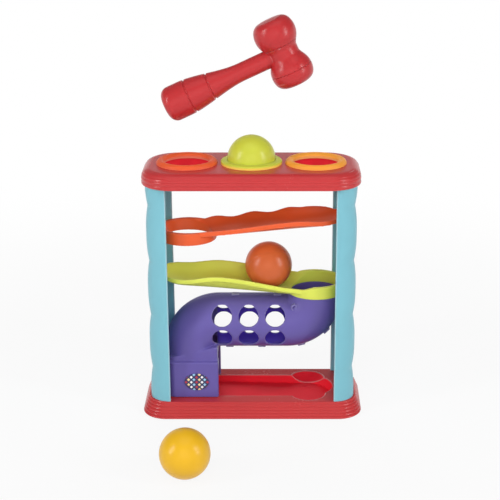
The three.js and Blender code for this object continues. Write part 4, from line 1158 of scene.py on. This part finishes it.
def stud():
    """A round boss with a small crater, on the front of the inlet bend."""
    rim, crater = STUD_PROUD - STUD_EDGE, STUD_PROUD / 4
    profile = [
        (0, -STUD_R), (STUD_R, -STUD_R),
        (STUD_R, rim), (STUD_R - STUD_EDGE, STUD_PROUD),
        (STUD_BORE_R + STUD_EDGE, STUD_PROUD), (STUD_BORE_R, rim),
        (STUD_BORE_R, crater), (0, crater),
    ]
    boss = turned(profile, STUD_SIDES).outward()
    return boss.turned_by(90, "X").moved(STUD_X, -STUD_FACE, STUD_Z)


def duct(wall, low):
    """The leaning duct above the foot, or the hollow a wall's thickness inside it."""
    half_w, half_d, r = (v - wall for v in (DUCT_HALF_W, DUCT_HALF_D, FOOT_CORNER_R))
    return outlet_duct(half_w, half_d, r, low, DUCT_TOP - wall, DUCT_LEAN)


def foot(wall, low):
    """The box foot, or the hollow a wall's thickness inside it."""
    half_w, half_d, r = (v - wall for v in (FOOT_HALF_W, FOOT_HALF_D, FOOT_CORNER_R))
    return outlet_duct(half_w, half_d, r, low, FOOT_TOP - wall)


def exit_way(low):
    """An arched way out of the foot for the ball."""
    exit_x = -TUBE_OUTLET_X + FOOT_HALF_W + BALL_R
    arch = [(y, low) for y in (-ARCH_HALF_W, ARCH_HALF_W)]
    for a in arc(0, 180, 40):
        arch.append((ARCH_HALF_W * math.cos(a), ARCH_SPRING + ARCH_HALF_W * math.sin(a)))
    return skin([np.array([(x, y, z) for y, z in arch]) for x in (-TUBE_OUTLET_X, exit_x)])


def tube_half(side, name):
    """The front (-1) or back (1) half of the tube and its foot, with its windows and lugs."""
    under = FOOT_LOW - BALL_R
    far = TUBE_R + BALL_R
    bar = rod(WINDOW_R, -far, far, WINDOW_SIDES).turned_by(90, "X")
    rows = (TUBE_AXIS_Z - WINDOW_RISE, TUBE_AXIS_Z + WINDOW_RISE)
    windows = [bar.moved(x, 0, z) for x in WINDOW_X for z in rows]
    half = sorted((side * TUBE_SEAM / 2, side * far))
    shell = [
        joined(duct(0, FOOT_LOW)),
        joined(foot(0, FOOT_LOW)),
        cut_by(tube_run(TUBE_BORE_R, TUBE_TOP + BALL_R, under)),
        cut_by(duct(TUBE_WALL, under)),
        cut_by(foot(TUBE_WALL, under)),
        cut_by(exit_way(under)),
        cut_by(sum(windows[1:], windows[0])),
        kept_in(block((-2 * DROP_X, half[0], 0), (2 * DROP_X, half[1], DECK_Z))),
    ]
    crisp = [joined(seam_lugs(side))] + ([joined(stud())] if side < 0 else [])
    changes = shell + softened(TUBE_VOXEL, TUBE_PASSES) + crisp
    return baked(tube_run(TUBE_R, TUBE_TOP, FOOT_TOP), changes, name)


for name, side, node in (("tube_half_front", -1, "tube_front"), ("tube_half_back", 1, "tube_back")):
    piece(name, tube_half(side, name), purple, "tower", "purple_plastic", node)


# Badge

def badge():
    """A thin oval with a rounded rim and a faint crown."""
    a = TURN * np.arange(BADGE_SIDES) / BADGE_SIDES
    loops = []
    for share, drop in BADGE_ROWS:
        x, z = BADGE_HALF_W * share * np.cos(a), BADGE_HALF_H * share * np.sin(a)
        y = np.full(BADGE_SIDES, BADGE_BACK_Y - (BADGE_T - drop))
        loops.append(np.column_stack([BADGE_X + x, y, BADGE_Z + z]))
    return skin(loops)


def badge_print():
    """A navy oval strewn with rows of small lozenges in four colours."""
    finish = Finish("badge_print")
    x_mm, z_mm = finish.millimetres("XZ")
    across, up = (x_mm - BADGE_X) / LOZENGE_PITCH, (z_mm - BADGE_Z) / LOZENGE_PITCH
    field = finish.colour_mix(finish.noise(PRINT_CLOUDS), NAVY, LIGHT_NAVY)
    for shift, first, second in ((0, CREAM, SKY), (0.5, CRIMSON, CHALK)):
        x, z = across + shift, up + shift
        off = (x.fraction() - 0.5).size() + (z.fraction() - 0.5).size()
        every_other = (x / 2).fraction().within(*COLOUR_CHANGE)
        colour = finish.colour_mix(every_other, first, second)
        field = finish.colour_mix(1 - off.within(*LOZENGE_EDGE), field, colour)
    rough = PRINT_ROUGHNESS + finish.noise(PRINT_SPECKS) * PRINT_SPECK_ROUGH
    finish.set(Base_Color=field, Roughness=rough, IOR=PRINT_IOR)
    finish.set(Coat_Weight=PRINT_COAT, Coat_Roughness=PRINT_COAT_ROUGHNESS)
    return finish


piece("oval_trim", badge(), badge_print(), "tower", "badge_print", "badge")


# Hammer

def head_radius(h):
    """The head's radius at a height from its middle: a waist that runs out into a ball each way."""
    ball_r = math.sqrt(max(0, CAP_R ** 2 - (abs(h) - CAP_OFFSET) ** 2))
    near = max(0, WAIST_FILLET - abs(ball_r - WAIST_R))
    return max(ball_r, WAIST_R) + near ** 2 / (4 * WAIST_FILLET)


def head_side(start, end, seams, steps=48):
    """The head's side between two heights, drawn in a little at its seams."""
    near = [seam + off for seam in seams for off in SEAM_ROWS]
    heights = np.append(np.linspace(start, end, steps + 1), [h for h in near if start < h < end])
    side = []
    for h in np.sort(heights):
        drawn = sum(SEAM_DEPTH * max(0, 1 - abs(h - seam) / SEAM_DEPTH) ** 2 for seam in seams)
        side.append((head_radius(h) - drawn, h))
    return side


def hammer_cap(seam, face):
    """A cap from its seam to a faintly domed face, with a fine crease in its large round edge."""
    start = seam + SEAM_GAP / 2
    edge_z = face - FACE_EDGE_R
    edge_r = math.sqrt((CAP_R - FACE_EDGE_R) ** 2 - (edge_z - CAP_OFFSET) ** 2)
    first = math.degrees(math.atan2(edge_z - CAP_OFFSET, edge_r))
    angles = np.append(arc(first, 90, 24), np.radians(CREASE_AT + np.array(CREASE_ROWS)))
    edge = []
    for a in np.sort(angles):
        off = (math.degrees(a) - CREASE_AT) / CREASE_HALF_W
        r = FACE_EDGE_R - CREASE_DEPTH * max(0, 1 - abs(off))
        edge.append((edge_r + r * math.cos(a), edge_z + r * math.sin(a)))
    crown = [(edge_r * share, face + FACE_CROWN * (1 - share ** 2)) for share in FACE_ROWS]
    side = head_side(start, edge[0][1], [start])[:-1]
    return turned([(0, start)] + side + edge + crown).outward()


def hammer_middle():
    """The waist between the two caps."""
    low, high = SEAM_GAP / 2 - SEAM_LOWER, SEAM_UPPER - SEAM_GAP / 2
    return turned([(0, low)] + head_side(low, high, [low, high]) + [(0, high)]).outward()


def hammer_handle():
    """The handle along Z from the head out: a slim neck that swells to a grip with two grooves."""
    round_start = HANDLE_LENGTH - GRIP_END_R
    across = np.linspace(-GROOVE_REACH, GROOVE_REACH, GROOVE_LOOPS) * GROOVE_HALF_W
    heights = [np.linspace(WAIST_R - HANDLE_SINK, round_start, HANDLE_LOOPS)]
    heights += [HANDLE_LENGTH - back + across for back in GROOVES]
    heights = np.sort(np.concatenate(heights))
    profile = [(0, heights[0])]
    for z in heights:
        grown = smooth_step((z - GRIP_START) / (GRIP_FULL - GRIP_START))
        r = HANDLE_R + (GRIP_R - HANDLE_R) * grown
        for back in GROOVES:
            off = (z - HANDLE_LENGTH + back) / GROOVE_HALF_W
            r -= GROOVE_DEPTH * max(0, 1 - off * off) ** GROOVE_ROUND
        profile.append((r, z))
    end_r = GRIP_END_R
    for a in arc(0, 90, 16):
        profile.append((GRIP_R - end_r + end_r * math.cos(a), round_start + end_r * math.sin(a)))
    return turned(profile + [(0, HANDLE_LENGTH)]).outward()


lower_cap = hammer_cap(SEAM_LOWER, FACE_LOWER).turned_by(180, "X")
hammer_pieces = (
    ("grip_and_shaft", hammer_handle(), -90 - HAMMER_TILT, "hammer_handle"),
    ("head_waist", hammer_middle(), -HAMMER_TILT, "hammer_head"),
    ("head_cap_upper", hammer_cap(SEAM_UPPER, FACE_UPPER), -HAMMER_TILT, "hammer_cap_upper"),
    ("head_cap_lower", lower_cap, -HAMMER_TILT, "hammer_cap_lower"),
)
for name, made, lean, node in hammer_pieces:
    held = made.turned_by(lean, "Y").moved(HAMMER_X, 0, HAMMER_Z)
    piece(name, held, hammer_red, "hammer", "hammer_red", node)


# Balls

def ball(node, tilt):
    """A ball in its node's place, with a hair-thin parting line, tilted by some degrees."""
    angles = np.sort(np.append(arc(-90, 90, 72), np.radians(PARTING_ROWS)))
    profile = []
    for a in angles:
        r = BALL_R - PARTING_DEPTH * (abs(a) < PARTING_HALF)
        profile.append((r * math.cos(a), BALL_R * math.sin(a)))
    made = turned(profile, FINE_SIDES).outward().turned_by(tilt, "X").turned_by(tilt / 2, "Y")
    low, high = node_box(node)
    return made.moved(*(low + high) / 2)


balls = (
    ("lime_ball_shell", 62, lime_ball, "lime_ball", "ball_lime"),
    ("orange_ball_shell", -48, orange_ball, "orange_ball", "ball_orange"),
    ("yellow_ball_shell", 35, yellow_ball, "yellow_ball", "ball_yellow"),
)
for name, tilt, finish, body, node in balls:
    piece(name, ball(node, tilt), finish, body, node, node)


# Plate and screws under the base

def screw_steel():
    """Zinc plate, faintly clouded."""
    finish = Finish("zinc_plated_steel")
    cloud = finish.noise(ZINC_CLOUDS, ZINC_DETAIL)
    finish.set(Base_Color=finish.colour_mix(cloud, ZINC, LIGHT_ZINC))
    finish.set(Roughness=ZINC_ROUGHNESS + cloud * ZINC_CLOUD_ROUGH, Metallic=1)
    finish.bump(finish.noise(ZINC_GRAIN), ZINC_DEPTH, ZINC_STRENGTH)
    return finish


steel = screw_steel()
for name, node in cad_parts.items():
    finish = {"base_plate": base_red, "base_screw": steel}.get(name.rstrip("_1234"))
    if finish:
        node.data.materials.clear()
        node.data.materials.append(finish.material)


# Floor, light and camera

def floor_finish():
    """A white floor that glows where it is seen and keeps a faint shadow near the tower."""
    finish = Finish("white_floor")
    dark, light = ((grey, grey, grey, 1) for grey in FLOOR_GREYS)
    grey = finish.colour_mix(finish.noise(FLOOR_CLOUDS), dark, light)
    matt = finish.node("ShaderNodeBsdfDiffuse", sockets={"Color": grey})
    glow = finish.node("ShaderNodeEmission", sockets={"Color": WHITE, "Strength": 1})
    off = (finish.axis("X") ** 2 + finish.axis("Y") ** 2) ** 0.5
    shade = (1 - off.within(FLOOR_NEAR, FLOOR_FAR)) * FLOOR_SHADE
    shaded = finish.node("ShaderNodeMixShader", sockets={0: shade, 1: glow, 2: matt})
    shown = finish.node("ShaderNodeMixShader", sockets={0: finish.seen(), 1: matt, 2: shaded})
    finish.plug(finish.tree.nodes["Material Output"].inputs["Surface"], shown)
    return finish


def floor():
    corners = [(x, y, 0) for x, y in ((-1, -1), (1, -1), (1, 1), (-1, 1))]
    made = Form(np.array(corners) * FLOOR_HALF, [(0, 1, 2, 3)]).mesh("floor")
    made.materials.append(floor_finish().material)
    obj = bpy.data.objects.new("floor", made)
    obj.location.z = -FLOOR_DROP
    bpy.context.scene.collection.objects.link(obj)


def soft_box(name, place, size, watts, mirrored):
    """A lamp turned to the tower. One that isn't mirrored leaves no spot on glossy pieces."""
    lamp = bpy.data.lights.new(name, "AREA")
    lamp.shape, lamp.energy = "RECTANGLE", watts
    lamp.size, lamp.size_y = size
    obj = bpy.data.objects.new(name, lamp)
    obj.location = place
    obj.rotation_euler = (Vector(AIM) - Vector(place)).to_track_quat("-Z", "Y").to_euler()
    obj.visible_glossy = mirrored
    bpy.context.scene.collection.objects.link(obj)


def surroundings():
    """White about the horizon and dimmer above where it is seen, and a softer white as light."""
    world = bpy.data.worlds.new("white_room")
    bpy.context.scene.world = world
    world.use_nodes = True
    room = Nodes(world.node_tree)
    direction = room.node("ShaderNodeTexCoord", output="Generated")
    up = room.node("ShaderNodeSeparateXYZ", sockets={"Vector": direction}, output="Z")
    shown = ROOM_WHITE - up.within(*ROOM_RISE) * (ROOM_WHITE - ROOM_DIM)
    background = room.tree.nodes["Background"]
    room.plug(background.inputs["Color"], WHITE)
    room.plug(background.inputs["Strength"], ROOM_LIGHT + room.seen() * (shown - ROOM_LIGHT))


def camera():
    lens = bpy.data.cameras.new("camera")
    lens.lens, lens.sensor_width, lens.shift_x = CAMERA_LENS, CAMERA_SENSOR, CAMERA_SHIFT
    obj = bpy.data.objects.new("camera", lens)
    obj.location = CAMERA_PLACE
    obj.rotation_euler = (math.radians(90 - CAMERA_DOWN), 0, 0)
    bpy.context.scene.collection.objects.link(obj)
    bpy.context.scene.camera = obj


floor()
for lamp in LAMPS:
    soft_box(*lamp)
surroundings()
camera()
bpy.context.scene.view_settings.view_transform = "Standard"
